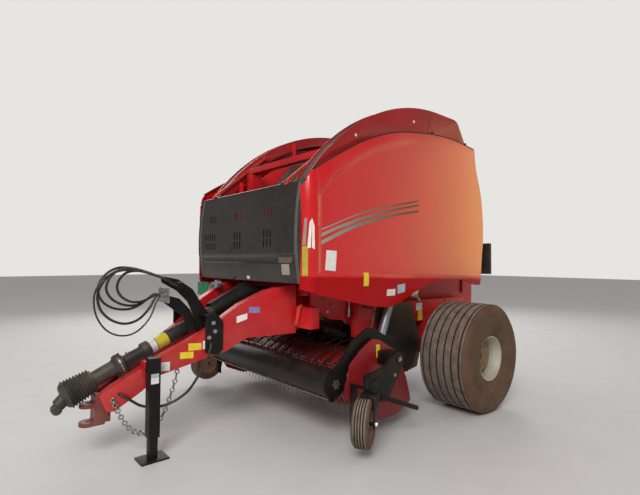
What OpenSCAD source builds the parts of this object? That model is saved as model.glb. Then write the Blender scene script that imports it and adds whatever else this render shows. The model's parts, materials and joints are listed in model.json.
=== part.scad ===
// Round baler with a variable chamber, drawn in millimetres.
// The tractor end points to -Y, the machine's left side is +X, and the ground is z = 0.
// The origin lies on the ground under the middle of the machine's length.

/* [Running gear] */
// Distance of the axle behind the origin
axle_y = 1020; // [980:10:1060]
// Outside diameter of a road tyre
tyre_d = 1040; // [1020:10:1060]
// Width of a road tyre
tyre_w = 540; // [500:10:550]
// Distance between the middles of the two road tyres
wheel_track = 2350; // [2330:10:2420]
// Bead diameter of a road wheel
rim_d = 410; // [390:5:430]

/* [Bale chamber] */
// Width between the chamber walls
chamber_w = 1210; // [1190:10:1230]
// Thickness of a chamber wall with its stiffeners
wall_t = 30; // [20:1:32]
// Tailgate hinge, behind the origin
hinge_y = 380; // [360:5:400]
// Tailgate hinge, above the ground
hinge_z = 2480; // [2450:5:2500]
// Radius of the tailgate's round back
tailgate_r = 1130; // [1100:5:1150]

/* [Body panels] */
// Radius of the arches over the chamber
arch_r = 2256; // [2240:1:2270]
// Half width over the outer faces of the arches
arch_x = 800; // [790:1:805]
// Half width of the front guard
guard_x = 872; // [850:1:876]
// Height of the front guard's lower edge
guard_z0 = 1270; // [1250:5:1300]
// Height of the front guard's upper edge
guard_z1 = 2085; // [2060:5:2090]
// Sheet thickness of guards and shields with their frames
panel_t = 25; // [18:1:28]

/* [Pickup] */
// Radius of the pickup tine tips
tine_r = 265; // [240:1:268]
// Radius of the curved stripper bands
band_r = 200; // [190:1:205]
// Number of stripper bands
band_n = 30; // [20:1:32]
// Number of tine bars on the reel
bar_n = 5; // [4:1:6]
// Diameter of the crop roller
roller_d = 216; // [180:2:220]
// Diameter of a gauge wheel
gauge_d = 360; // [340:5:370]

/* [Hitch] */
// Tip of the drawbar, ahead of the origin
hitch_y = 2240; // [2220:5:2260]
// Height of the hitch pin's middle
hitch_z = 330; // [300:5:350]
// Front end of the drive shaft, ahead of the origin
shaft_tip_y = 2415; // [2400:5:2430]

/* [Hidden] */
$fn = 48;

wall_in = chamber_w / 2;
wall_out = wall_in + wall_t;
tail_in = wall_in - 3;
fit = 0.08;
wheel_x = wheel_track / 2;
wheel_r = tyre_d / 2;
rim_r = rim_d / 2;
axle_z = wheel_r;
rail_x0 = 640;
rail_x1 = 730;
rail_z0 = 900;
rail_z1 = 1040;
root_y = -690;
beam_back = -590;
beam_w = 76;
beam_root_x = 455;
beam_turn = atan2(440, 1400);
arch_c = [1030, 805];
arch_end_c = [1350, 2935];
arch_end_r = 125;
lip_h = 12;
guard_y = -920;
arm_pivot = [-240, 2620];
arm_x = 632;
arm_pin_r = 12;
lip_x = 660;
lip_t = 12;
hinge_pin_r = 30;
split_foot = [720, 700];
chamber_c = [1130, 1640];
ram_foot = [100, 718];
ram_head = [640, 2060];
ram_x = 800;
ram_lean = atan2(ram_head[1] - ram_foot[1], ram_head[0] - ram_foot[0]);
ram_len = norm(ram_head - ram_foot);
rotor_c = [310, 680];
rotor_r = 235;
rotor_shaft_r = 35;
boss_r = 62;
reel_c = [-270, 400];
reel_x = 1000;
reel_shaft_r = 26;
end_plate_x = 1040;
guard_roller_c = [-662, 488];
windguard_pivot = [20, 660];
windguard_x = 990;
axle_tube = 120;
gauge_z = 255;
gauge_w = 130;
caster_at = [1213, -520];
caster_trail = 120;
caster_turn = 31;
caster_pin_r = 16;
jack_x = 285;
jack_y = -1815;
jack_pivot_z = 640;
jack_pin_r = 20;
shaft_rear = [-870, 1150];
shaft_front = [-2215, 541];
rack_y = -1720;
clamp_y = -1640;
slot_z = 1190;
shield_axis = [830, 2785];
shield_plan_r = 14766;
shield_plan_c = [-13787, 118];
hinge_rows = [800, 1440];

// Puts a 2D outline, drawn as (y, z), into the machine and gives it a width along x.
module side_cut(x0, w) translate([x0, 0, 0]) rotate([90, 0, 90]) linear_extrude(w) children();

// The same piece on both sides of the machine.
module both_sides() {
    children();
    mirror([1, 0, 0]) children();
}

// A round bar along x from x0 to x1, with its middle at at = [y, z].
module x_bar(x0, x1, at, r) translate([x0, at[0], at[1]]) rotate([0, 90, 0]) cylinder(h = x1 - x0, r = r);

// A round bar from point a to point b.
module rod(a, b, r) {
    d = b - a;
    translate(a) rotate([0, acos(d[2] / norm(d)), atan2(d[1], d[0])]) cylinder(h = norm(d), r = r);
}

// A box-section beam from a to b in the plane x = constant, w wide along x and h deep.
module side_beam(x0, w, a, b, h) {
    d = b - a;
    side_cut(x0, w) translate(a) rotate(atan2(d[1], d[0])) translate([0, -h / 2]) square([norm(d), h]);
}

// Points of a circle arc from angle a0 to a1.
function arc(c, r, a0, a1, n) = [for (i = [0:n]) c + r * [cos(a0 + (a1 - a0) * i / n), sin(a0 + (a1 - a0) * i / n)]];

// Angle on a circle of radius r round c at which its upper half has the given y.
function angle_at(c, r, y) = acos((y - c[0]) / r);

// Half the width of a road wheel at its beads.
bead_x = 216;

// Road tyre: rounded shoulders, tapering side walls and six rib grooves.
module road_tyre() {
    shoulder_r = 60;
    belt_r0 = 350;
    groove_pitch = 76;
    rotate([0, 90, 0]) rotate_extrude($fn = 96) difference() {
        union() {
            translate([belt_r0, -tyre_w / 2]) square([wheel_r - belt_r0 - shoulder_r, tyre_w]);
            translate([belt_r0, -tyre_w / 2 + shoulder_r]) square([wheel_r - belt_r0, tyre_w - 2 * shoulder_r]);
            for (s = [-1, 1]) translate([wheel_r - shoulder_r, s * (tyre_w / 2 - shoulder_r)]) circle(shoulder_r);
            polygon([[rim_r + 1, -bead_x], [belt_r0 + 1, -tyre_w / 2], [belt_r0 + 1, tyre_w / 2], [rim_r + 1, bead_x]]);
        }
        for (i = [-3:2]) translate([wheel_r - 16, (i + 0.5) * groove_pitch - 6]) square([30, 12]);
    }
}

// Road wheel: stepped barrel with flanges, dished disc and hub, bored for the stub axle.
module road_rim() {
    hub_r = 86;
    stub_r = 40;
    disc_at = 116;
    rotate([0, 90, 0]) rotate_extrude($fn = 96) {
        translate([rim_r - 10, -bead_x - 4]) square([10, 2 * bead_x + 8]);
        for (s = [-1, 1]) translate([rim_r - 10, s * (bead_x + 10) - 6]) square([34, 12]);
        for (s = [-1, 0.35]) translate([rim_r - 26, s * 150 - 30]) square([17, 60]);
        translate([0, disc_at]) polygon([[hub_r - 1, 4], [rim_r - 9, -22], [rim_r - 9, -8], [hub_r - 1, 18]]);
        translate([stub_r + fit, -80]) square([hub_r - stub_r - fit, disc_at + 90]);
        translate([0, 18]) square([hub_r - 20, disc_at - 6]);
    }
}

module tyre_left() color("#3a332f") translate([wheel_x, axle_y, axle_z]) road_tyre();
module tyre_right() color("#3a332f") mirror([1, 0, 0]) translate([wheel_x, axle_y, axle_z]) road_tyre();
module rim_left() color("#c9c4b4") translate([wheel_x, axle_y, axle_z]) road_rim();
module rim_right() color("#c9c4b4") mirror([1, 0, 0]) translate([wheel_x, axle_y, axle_z]) road_rim();

// Square axle tube with a stub axle at each end.
module axle_beam() color("#7d1013") {
    end_x = 872;
    translate([-end_x, axle_y - axle_tube / 2, axle_z - axle_tube / 2]) cube([2 * end_x, axle_tube, axle_tube]);
    both_sides() x_bar(end_x - 20, wheel_x + 14, [axle_y, axle_z], 40);
    both_sides() x_bar(end_x - 20, end_x + 14, [axle_y, axle_z], 78);
}

// Rails beside the chamber, with their front posts, the hangers on the axle and the foot of each ram.
module frame_rails() color("#a3161a") both_sides() {
    rail_y = -130;
    hanger_z = axle_z + axle_tube / 2;
    translate([rail_x0, rail_y, rail_z0]) cube([rail_x1 - rail_x0, 1750, rail_z1 - rail_z0]);
    translate([rail_x0, rail_y + 5, 750]) cube([rail_x1 - rail_x0, 45, rail_z1 - 720]);
    side_cut(rail_x0 + 15, 60) polygon([[860, rail_z0 + 5], [1300, rail_z0 + 5], [1120, hanger_z], [920, hanger_z]]);
    side_cut(700, 18) polygon([[-110, rail_z0 + 5], [260, rail_z0 + 5], [175, 672], [60, 672], [-40, 715], [-110, 715]]);
    x_bar(700, ram_x + 50, ram_foot, 22);
    side_cut(rail_x1 - 2, 10) polygon([[1260, 870], [1640, 905], [1640, 1035], [1260, 1035]]);
}

// Beam across the machine behind the drawbar, on the front of the rails.
module cross_beam() color("#a3161a") {
    translate([-rail_x1, root_y, rail_z0 - 20]) cube([2 * rail_x1, beam_back - root_y, 180]);
    both_sides() side_cut(470, 14) polygon([[root_y + 2, 830], [-430, 905], [-330, 1035], [-560, 1180], [root_y + 2, 1180]]);
}

// Plates below the rails that carry the rotor and the pickup.
module side_plates() color("#8f1417") both_sides() difference() {
    union() {
        side_cut(rail_x0, 12) polygon([[-60, rail_z0], [-60, 830], [0, 770], [130, 640], [130, 330],
            [640, 300], [860, 330], [940, 545], [940, rail_z0]]);
        x_bar(rail_x0, 700, rotor_c, boss_r);
    }
    x_bar(rail_x0 - 10, 710, rotor_c, rotor_shaft_r + fit);
}

// Front half of the chamber walls, with tabs that carry the arches and the tailgate's hinge pins.
wall_top_r = 2050;
function wall_top(y) = arch_c[1] + sqrt(pow(wall_top_r, 2) - pow(y - arch_c[0], 2));
module side_walls() color("#b3191d") both_sides() {
    cut_y = hinge_y - 62;
    front_y = -600;
    side_cut(wall_in, wall_t) polygon(concat(
        arc(arch_c, wall_top_r, angle_at(arch_c, wall_top_r, front_y), angle_at(arch_c, wall_top_r, cut_y), 18),
        [[cut_y, hinge_z - 70], [hinge_y - 12, hinge_z - 72], split_foot + [-14, 0], [0, 780],
            [-182, 907], [-376, 932], [-558, 1034], [front_y, 1040]]));
    for (y = [-560, 160]) translate([wall_out, y, wall_top(y) - 60]) cube([lip_x - wall_out, 40, 260]);
    side_cut(wall_out, 15) polygon([[180, 2340], [180, 2520], [300, 2560], [400, 2545], [445, 2480], [400, 2400], [300, 2330]]);
    x_bar(tail_in - 2, wall_out + 10, [hinge_y, hinge_z], hinge_pin_r);
}

// Red frame between the arches, over and behind the front guard.
module front_frame() color("#b3191d") {
    post_x = 520;
    beam_at = [-450, 2420];
    side_cut(-wall_in + 2, 2 * wall_in - 4) translate(beam_at - [40, 30]) square([80, 60]);
    both_sides() {
        side_beam(post_x, 60, [-450, 2400], [-600, 1180], 70);
        side_cut(wall_in - 120, 118) polygon([[-500, 2380], [-400, 2380], [-330, 2240], [-480, 2200]]);
    }
    side_cut(-wall_in, 2 * wall_in) translate([-650, 1150]) square([90, 60]);
}

// Box for the net roll behind the guard: floor, back and two ends, open at the top.
module net_box() color("#941518") {
    box_x = 520;
    side_cut(-box_x, 2 * box_x) polygon([[-800, 1330], [-790, 1318], [-620, 1318], [-600, 1700], [-440, 1960],
        [-452, 1968], [-615, 1708], [-634, 1334]]);
    both_sides() side_cut(box_x - 12, 12) polygon([[-800, 1320], [-634, 1320], [-600, 1700], [-460, 1955],
        [-560, 1960], [-780, 1640]]);
}

// One arch seen from the side, as the area under its outer curve, moved in by an inset.
module arch_area(inset) {
    r = arch_r - inset;
    e = arch_end_r - inset;
    polygon(concat(arc(arch_c, r, angle_at(arch_c, r, -848 + inset), 90, 28), arc(arch_end_c, e, 86, 34, 6),
        [[1650, 2722] - inset * [cos(35), sin(35)], [1100, 1900]]));
}

// Area behind and below the upper edge of the side shields.
module shield_top_area(drop) {
    // columns: y, z
    edge = [[-1000, 1925], [-891, 2064], [-840, 2165], [-702, 2252], [-480, 2382], [-258, 2498], [0, 2600], [240, 2664],
        [520, 2714], [810, 2752], [1200, 2772], [1900, 2755]];
    polygon(concat([for (p = edge) p - [0, drop]], [[1900, 900], [-1000, 900]]));
}

// Crescent plates and inner lips of the two arches, each a thin pressed sheet.
module arches() color("#c01c20") both_sides() {
    side_cut(arch_x - 14, 14) difference() {
        arch_area(0);
        shield_top_area(28);
    }
    side_cut(lip_x, lip_t) difference() {
        arch_area(0);
        arch_area(110);
        translate([1000, 1900]) square([700, 860]);
    }
    for (y = hinge_rows, dy = [0, 44]) translate([arch_x - 4, y + dy, shield_axis[1] - 14])
        cube([shield_axis[0] + 8 - arch_x + 4, 20, 28]);
    for (y = hinge_rows) translate([shield_axis[0], y, shield_axis[1]]) rotate([-90, 0, 0]) cylinder(h = 64, r = 7);
    x_bar(arm_x - 14, lip_x + 2, arm_pivot, arm_pin_r);
    x_bar(arm_x + 11, lip_x + 2, arm_pivot, 22);
}

// Dark strips on top of the arches, set a little below the red lips.
module arch_liners() color("#4b443c") both_sides() {
    side_cut(lip_x + lip_t, arch_x - 14 - lip_x - lip_t) difference() {
        arch_area(lip_h);
        arch_area(lip_h + 14);
        translate([1000, 1900]) square([700, 880]);
    }
}

// A-shaped drawbar: two tapering box beams that meet at the hitch.
module drawbar() color("#b3191d") difference() {
    drawbar_beams();
    both_sides() x_bar(186, 240, [jack_y, jack_pivot_z], jack_pin_r + fit);
}
module drawbar_beams() {
    both_sides() difference() {
        intersection() {
            side_cut(0, 700) polygon([[root_y, 830], [-1100, 815], [-1260, 720], [-1450, 665], [-1730, 578],
                [-1866, 462], [-2030, 345], [-2080, 345], [-2130, 470], [-2016, 542], [-1735, 718], [-1410, 895],
                [-1151, 1094], [-940, 1200], [-779, 1240], [root_y, 1240]]);
            translate([beam_root_x, root_y, 0]) rotate(-beam_turn) translate([0, -1700, 0]) cube([beam_w, 1760, 1400]);
        }
        translate([-1, -2600, 0]) cube([30, 2600, 1400]);
    }
    // columns: y, z, height
    for (c = [[-2000, 400, 120], [-1400, 690, 90]]) translate([-root_half(c[0]), c[0] - 40, c[1]])
        cube([2 * root_half(c[0]), 80, c[2]]);
    both_sides() translate([150, jack_y - 45, 590]) cube([76, 90, 110]);
}
function root_half(y) = 465 + (y - root_y) * 0.3143;

// Hitch clevis: two tapering jaws on a block, bored for the drawbar pin.
module hitch() color("#8f1417") {
    pin_y = -hitch_y + 62;
    difference() {
        union() {
            translate([-60, -2150, 265]) cube([120, 110, 205]);
            for (z = [hitch_z + 52, hitch_z - 80]) {
                translate([-60, pin_y, z]) cube([120, 100, 28]);
                translate([0, pin_y, z]) cylinder(h = 28, r = 62);
            }
        }
        translate([0, pin_y, 200]) cylinder(h = 300, r = 17);
    }
}

// Drive gearbox under the front guard, with the flared cover round its input shaft.
module gearbox() color("#23211f") {
    translate([-110, -860, 1000]) cube([220, 190, 210]);
    translate([0, shaft_rear[0], shaft_rear[1]]) rotate([90 + shaft_slope, 0, 0]) translate([0, 0, -30]) difference() {
        cylinder(h = 400, r1 = 99, r2 = 86);
        translate([0, 0, 60]) cylinder(h = 400, r = 79);
    }
}
shaft_slope = atan2(shaft_rear[1] - shaft_front[1], shaft_rear[0] - shaft_front[0]);
shaft_len = norm(shaft_rear - shaft_front);

// Drive shaft in its plastic guard tubes, with a joint cover at each end and its cradle.
module drive_shaft() color("#1d1c1b") {
    translate([0, shaft_rear[0], shaft_rear[1]]) rotate([90 + shaft_slope, 0, 0]) {
        translate([0, 0, 40]) cylinder(h = 740, r = 58);
        translate([0, 0, 770]) cylinder(h = shaft_len - 770, r = 49);
        translate([0, 0, 960]) cylinder(h = 60, r = 66);
        translate([0, 0, 1180]) cylinder(h = 46, r = 84);
    }
    translate([-26, -1970, 470]) cube([52, 80, 190]);
}

// Corrugated cover of the wide-angle joint, with the drooping yoke in front.
module shaft_bellows() color("#1a1a1a") {
    fold = 21;
    // columns: distance along the shaft, radius
    rings = concat([[0, 74]], [for (i = [0:8]) each [[8 + i * fold, 78 + i * 2], [8 + (i + 0.5) * fold, 92 + i * 2]]],
        [[205, 90], [222, 62]]);
    translate([0, shaft_front[0] + 68, shaft_front[1] + 31]) rotate([90 + shaft_slope, 0, 0]) rotate_extrude()
        polygon(concat([[0, 0]], [for (p = rings) [p[1], p[0]]], [[0, 222]]));
    rod([0, -2290, 520], [0, -shaft_tip_y + 39, 425], 46);
    x_bar(-34, 34, [-shaft_tip_y + 34, 405], 34);
}

// Hose holder: a saddle over the drawbar and shaft with a swan-necked arm and its brace.
module hose_bracket() color("#191919") {
    saddle_z = 1006;
    side_cut(190, 12) {
        polygon([[-1330, 700], [-1440, 730], [-1440, 960], [-1330, saddle_z + 5], [-1240, 960], [-1240, 740]]);
        polygon([[-1300, 960], [-1440, 940], [-1520, 1120], [-1610, 1210], [-1730, 1280], [-1740, 1330], [-1600, 1300],
            [-1480, 1220], [-1400, 1100]]);
        polygon([[-1440, 900], [-1500, 870], [-1560, 1010], [rack_y, 1130], [rack_y, 1190], [-1590, 1150], [-1500, 1060]]);
    }
    translate([202, clamp_y, 1232]) cube([116, 24, 48]);
    translate([-328, -1425, saddle_z]) cube([656, 80, 12]);
    both_sides() translate([beam_root_x, root_y, 0]) rotate(-beam_turn) side_cut(beam_w + 0.3, 12)
        polygon([[-640, 700], [-740, 720], [-740, saddle_z + 8], [-640, saddle_z + 8], [-600, 960], [-600, 740]]);
}

// Comb plate on the hose holder where the couplings are parked, with seven slots.
module coupling_rack() color("#b9b6b0") {
    difference() {
        translate([130, rack_y - 8, 1130]) cube([200, 8, 110]);
        for (i = [0:6]) translate([slot_x(i) - 6, rack_y - 20, 1165]) cube([12, 30, 90]);
    }
    for (i = [0:4]) translate([slot_x(i), rack_y + 20, slot_z]) rotate([90, 0, 0]) cylinder(h = 60, r = 12);
}
function slot_x(i) = 152 + i * 26;

// Hydraulic valve block beside the gearbox with two round gauges facing forward.
module valve_block() {
    color("#8d8a86") translate([-660, -950, 1080]) cube([180, 80, 110]);
    color("#55524e") translate([-660, -950, 1060]) cube([180, 310, 20]);
    color("#55524e") translate([-516, -948, 1170]) cube([20, 20, 62]);
    color("#55524e") translate([-516, -958, 1212]) cube([202, 24, 20]);
    // columns: x, y, z
    for (g = [[-516, -934, 1153], [-324, -968, 1222]]) color("#e8e6e0") translate(g) rotate([90, 0, 0]) {
        cylinder(h = 36, r = 40);
        translate([0, 0, -40]) cylinder(h = 50, r = 12);
    }
}

// Black covers over the drive chains, flat against the rails.
module side_covers() color("#241c16") both_sides() {
    side_cut(rail_x1 + 1, 14) polygon([[110, 985], [190, 1045], [650, 1030], [784, 632], [690, 430], [580, 335], [400, 400],
        [250, 520], [130, 780]]);
    translate([rail_x1 + 1, 640, 640]) cube([34, 60, 26]);
}

// Springs that take the pickup's weight: coils round their rods, hung between two brackets.
module float_springs() color("#55504a") both_sides() {
    foot = [-90, 735];
    head = [-40, 1035];
    lean = atan2(head[0] - foot[0], head[1] - foot[1]);
    translate([850, foot[0], foot[1]]) rotate([-lean, 0, 0]) rotate_extrude() {
        square([6, 304]);
        for (i = [0:13]) translate([11, 24 + i * 19]) circle(5.5, $fn = 24);
    }
    translate([rail_x1 - 2, -52, 1016]) cube([132, 24, 20]);
    x_bar(716, 862, foot, 9);
}

// Curved floor under the rotor, ribbed for its knives.
module knife_floor() color("#8f1417") {
    side_cut(-590, 1180) difference() {
        translate(rotor_c) circle(278);
        translate(rotor_c) circle(258);
        translate([rotor_c[0] - 400, rotor_c[1] - 60]) square([800, 500]);
        translate([rotor_c[0] - 400, rotor_c[1] - 400]) square([215, 800]);
    }
    for (i = [-5:5]) translate([i * 105 - 4, 330, 385]) cube([8, 160, 34]);
    side_cut(-rail_x0, 2 * rail_x0) translate([430, 380]) square([50, 34]);
}

// Fixed rollers between the chamber walls; the belts run over the last three.
front_rollers = [[500, 1040, 105], [60, 1330, 75], [-150, 2180, 75], [120, 2480, 75]];
module chamber_rollers() color("#5a5650") for (r = front_rollers) x_bar(-wall_in, wall_in, [r[0], r[1]], r[2]);

// Area inside a loop that runs round rollers of radius r at the points p, which go clockwise.
module loop_area(p, r) {
    polygon(p);
    for (i = [0:len(p) - 1]) let(a = p[i], b = p[(i + 1) % len(p)], d = (b - a) / norm(b - a), n = [-d[1], d[0]]) {
        translate(a) circle(r);
        polygon([a, a + n * r, b + n * r, b]);
    }
}

// Four flat belts side by side, each one closed loop round the rollers.
module belt_loops(p, r) {
    belt_w = 273;
    gap = 22;
    for (i = [0:3]) side_cut((i - 1.5) * (belt_w + gap) - belt_w / 2, belt_w) difference() {
        loop_area(p, r + 9);
        loop_area(p, r);
    }
}
module front_belts() color("#2a2826") belt_loops([for (i = [1:3]) [front_rollers[i][0], front_rollers[i][1]]], 75.3);

// Safety chain that hangs in a loop between the drawbar and the jack: round links, each turned a quarter.
module safety_chain() color("#8a867e") {
    links = 34;
    wire = 5;
    route = smooth(route_chain, 6);
    steps = len(route) - 1;
    for (i = [0:links - 1]) {
        k = round(i / (links - 1) * steps);
        t = tangent(route, k);
        translate(route[k]) rotate([0, acos(t[2]), atan2(t[1], t[0])]) rotate([0, 0, (i % 2) * 90])
            rotate([90, 0, 0]) rotate_extrude($fn = 24) translate([15, 0]) circle(wire, $fn = 13);
    }
}

// Sweeps a tube of radius r along points with sides flat sides.
function tangent(p, i) = let(n = len(p) - 1, d = p[min(i + 1, n)] - p[max(i - 1, 0)]) d / norm(d);
function ring(p, i, r, sides) = let(
    t = tangent(p, i),
    s = cross(t, abs(t[0]) < 0.9 ? [1, 0, 0] : [0, 1, 0]),
    u = s / norm(s),
    v = cross(t, u)
) [for (k = [0:sides - 1]) p[i] + r * (cos(360 * k / sides) * u + sin(360 * k / sides) * v)];
module swept_tube(p, r, sides = 8) {
    n = len(p);
    polyhedron(
        [for (i = [0:n - 1]) each ring(p, i, r, sides)],
        concat(
            [[for (k = [0:sides - 1]) k]],
            [[for (k = [sides - 1:-1:0]) (n - 1) * sides + k]],
            [for (i = [0:n - 2], k = [0:sides - 1]) let(a = i * sides + k, b = i * sides + (k + 1) % sides)
                [b, a, a + sides, b + sides]]
        ));
}

// Smooth curve through hand-picked points, steps pieces between each two.
function spline_at(p, i, t) = let(
    n = len(p) - 1,
    a = p[max(i - 1, 0)], b = p[i], c = p[i + 1], d = p[min(i + 2, n)]
) 0.5 * ((2 * b) + (c - a) * t + (2 * a - 5 * b + 4 * c - d) * t * t + (3 * b - a - 3 * c + d) * t * t * t);
function smooth(p, steps) = concat([for (i = [0:len(p) - 2], s = [0:steps - 1]) spline_at(p, i, s / steps)], [p[len(p) - 1]]);

// Routes of the hydraulic hoses: out of the holder's arm, forward in a loop and back to the comb plate.
hose_r = 9;
route_chain = [[120, -2040, 430], [126, -2020, 370], [132, -1990, 300], [138, -1950, 230], [142, -1900, 178],
    [144, -1840, 150], [146, -1780, 158], [148, -1720, 205], [152, -1670, 290], [158, -1630, 400], [164, -1600, 500],
    [170, -1580, 600]];
route_a = [[214, -1640, 1256], [214, -1740, 1318], [214, -1850, 1362], [212, -1960, 1392], [208, -2060, 1392],
    [204, -2140, 1340], [200, -2180, 1250], [196, -2150, 1160], [186, -2070, 1105], [172, -1970, 1090],
    [160, -1890, 1110], [154, -1830, 1150], [152, -1780, 1186], [152, -1760, 1190]];
route_b = [[236, -1640, 1256], [236, -1740, 1316], [238, -1850, 1360], [238, -1960, 1386], [238, -2050, 1378],
    [236, -2110, 1330], [234, -2135, 1250], [230, -2100, 1180], [222, -2030, 1135], [206, -1950, 1118],
    [190, -1880, 1130], [180, -1825, 1160], [178, -1780, 1187], [178, -1760, 1190]];
route_c = [[258, -1640, 1256], [260, -1740, 1314], [262, -1850, 1356], [264, -1940, 1372], [264, -2010, 1360],
    [262, -2055, 1315], [258, -2070, 1255], [252, -2045, 1198], [244, -1990, 1158], [230, -1930, 1144],
    [216, -1870, 1150], [206, -1820, 1170], [204, -1780, 1188], [204, -1760, 1190]];
route_d = [[280, -1640, 1256], [282, -1740, 1310], [286, -1850, 1350], [292, -1950, 1380], [298, -2060, 1382],
    [304, -2150, 1330], [306, -2205, 1230], [300, -2190, 1120], [290, -2120, 1040], [276, -2020, 1000],
    [258, -1920, 1020], [242, -1840, 1090], [232, -1790, 1170], [230, -1760, 1190]];
route_e = [[302, -1640, 1256], [304, -1740, 1308], [310, -1850, 1346], [318, -1960, 1374], [328, -2080, 1372],
    [336, -2180, 1320], [340, -2235, 1220], [336, -2225, 1090], [326, -2160, 980], [312, -2060, 925],
    [296, -1950, 935], [278, -1850, 1020], [262, -1792, 1140], [256, -1760, 1190]];
route_brake = [[329, -1384, 800], [352, -1391, 798], [368, -1400, 770], [368, -1425, 700], [352, -1470, 600],
    [325, -1520, 500], [286, -1560, 430], [248, -1640, 372], [216, -1720, 346], [196, -1800, 350],
    [180, -1870, 372], [168, -1925, 412], [156, -1965, 442], [142, -1992, 460], [120, -2006, 470]];
module hose_a() color("#20231f") swept_tube(smooth(route_a, 3), hose_r);
module hose_b() color("#20231f") swept_tube(smooth(route_b, 3), hose_r);
module hose_c() color("#20231f") swept_tube(smooth(route_c, 3), hose_r);
module hose_d() color("#20231f") swept_tube(smooth(route_d, 3), hose_r);
module hose_e() color("#20231f") swept_tube(smooth(route_e, 3), 6);
module brake_line() color("#161616") swept_tube(smooth(route_brake, 3), 10);

// Intake rotor: shaft with plates whose points follow a helix.
module rotor() color("#2b2724") {
    plates = 13;
    pitch = 88;
    x_bar(-rail_x0 - 15, rail_x0 + 15, rotor_c, rotor_shaft_r);
    x_bar(-588, 588, rotor_c, 84);
    for (i = [0:plates - 1]) translate([(i - (plates - 1) / 2) * pitch - 4, rotor_c[0], rotor_c[1]])
        rotate([i * 17, 0, 0]) rotate([90, 0, 90]) linear_extrude(8) for (k = [0:3]) rotate(k * 90)
            polygon([[60, -52], [rotor_r, -14], [rotor_r - 8, 14], [60, 62]]);
}

// Outer curve of the front guard in side view, as a closed area of thickness t.
module guard_area(t) {
    r = 2400;
    c = [guard_y + r, 1640];
    difference() {
        translate(c) circle(r, $fn = 360);
        translate(c) circle(r - t, $fn = 360);
        translate([guard_y - 10, guard_z1]) square([5000, 5000]);
        translate([guard_y - 10, guard_z0 - 5000]) square([5000, 5000]);
        translate([guard_y + 400, 0]) square([6000, 5000]);
    }
}

// Front guard: one curved panel with groups of vent slots and folded side rims.
module front_guard() color("#4a4139") difference() {
    union() {
        side_cut(-guard_x, 2 * guard_x) guard_area(14);
        both_sides() side_cut(guard_x - 22, 22) guard_area(panel_t + 10);
        side_cut(-guard_x + 2, 2 * guard_x - 4) translate([guard_y + 48, guard_z1 - 24]) square([14, 22]);
    }
    // columns: x, z, number of slots
    for (g = [[-570, 1865, 3], [-70, 1867, 3], [425, 1868, 3], [-615, 1682, 5], [-76, 1682, 3], [420, 1686, 3],
        [-615, 1590, 5], [-76, 1595, 3], [420, 1600, 3]])
        for (i = [0:g[2] - 1]) translate([g[0] + (i - (g[2] - 1) / 2) * 50 - 9.5, guard_y - 40, g[1] - 34]) cube([19, 120, 68]);
}

// Two arms that carry the front guard from pivots up between the arches.
module guard_arms() color("#b8322a") both_sides() difference() {
    union() {
        side_beam(arm_x - 9, 18, [-868, 2108], arm_pivot, 26);
        side_cut(arm_x - 9, 18) translate(arm_pivot) circle(26);
        translate([arm_x - 30, -884, guard_z1 - 6]) cube([56, 44, 34]);
    }
    x_bar(arm_x - 20, arm_x + 20, arm_pivot, arm_pin_r + fit);
}

// Side outline of a shield, as (y, z).
module shield_outline() intersection() {
    shield_top_area(0);
    polygon([[-920, 2200], [-920, 1228], [-770, 1184], [-476, 1120], [-170, 1060], [98, 1033], [316, 1057], [600, 1150],
        [752, 1203], [836, 1222], [1173, 1240], [1400, 1226], [1580, 1186], [1750, 1178], [1785, 1200], [1801, 1317], [1833, 1530],
        [1860, 1640], [1875, 1761], [1880, 1850], [1876, 1932], [1855, 2144], [1806, 2321], [1746, 2452], [1712, 2560],
        [1696, 2668], [1694, 2740], [1660, 2790], [0, 2900]]);
}

// Outer x of a shield at a given y.
function shield_out(y) = shield_plan_c[0] + sqrt(pow(shield_plan_r, 2) - pow(y - shield_plan_c[1], 2));

// Side shield: its outline cut from a shell that is curved in plan and rounded at its front edge.
module side_shield() {
    corner_r = 120;
    corner_c = [835, -800];
    back_y = 2000;
    steps = 18;
    rows = [for (i = [0:steps]) corner_c[1] + (back_y - corner_c[1]) * i / steps];
    intersection() {
        side_cut(700, 400) shield_outline();
        translate([0, 0, 900]) linear_extrude(2000) {
            polygon(concat([for (y = rows) [shield_out(y), y]], [for (i = [steps:-1:0]) [shield_out(rows[i]) - panel_t, rows[i]]]));
            difference() {
                translate(corner_c) circle(corner_r);
                translate(corner_c) circle(corner_r - panel_t);
                translate([500, -1000]) square([385, 400]);
                translate([500, corner_c[1]]) square([600, 400]);
            }
        }
    }
    shield_hinges();
}

// Hinge arms that carry a side shield from the pins on its arch.
module shield_hinges() for (y = hinge_rows) difference() {
    union() {
        translate([shield_axis[0], y + 22, shield_axis[1]]) rotate([-90, 0, 0]) cylinder(h = 20, r = 14);
        translate([shield_axis[0], y + 22, shield_axis[1] - 14]) cube([48, 20, 28]);
        translate([shield_axis[0] + 28, y + 22, shield_axis[1] - 165]) cube([shield_out(y + 42) - 40 - shield_axis[0], 20, 165]);
    }
    translate([shield_axis[0], y, shield_axis[1]]) rotate([-90, 0, 0]) cylinder(h = 64, r = 7 + fit);
}
module shield_left() color("#c8201f") side_shield();
module shield_right() color("#c8201f") mirror([1, 0, 0]) side_shield();

// Tailgate side plates with their hinge eyes.
module tailgate_walls() color("#b3191d") both_sides() difference() {
    side_cut(tail_in, 26) union() {
        intersection() {
            translate(chamber_c) circle(tailgate_r, $fn = 240);
            polygon([[hinge_y, hinge_z + 20], [hinge_y, hinge_z - 60], split_foot, [1900, 700], [2010, 960], [2014, 1180],
                [2190, 1330], [2400, 1480], [2400, 3000], [hinge_y, 3000]]);
        }
        translate([hinge_y, hinge_z]) circle(56);
    }
    x_bar(wall_in - 20, wall_out + 20, [hinge_y, hinge_z], hinge_pin_r + fit);
}

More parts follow.
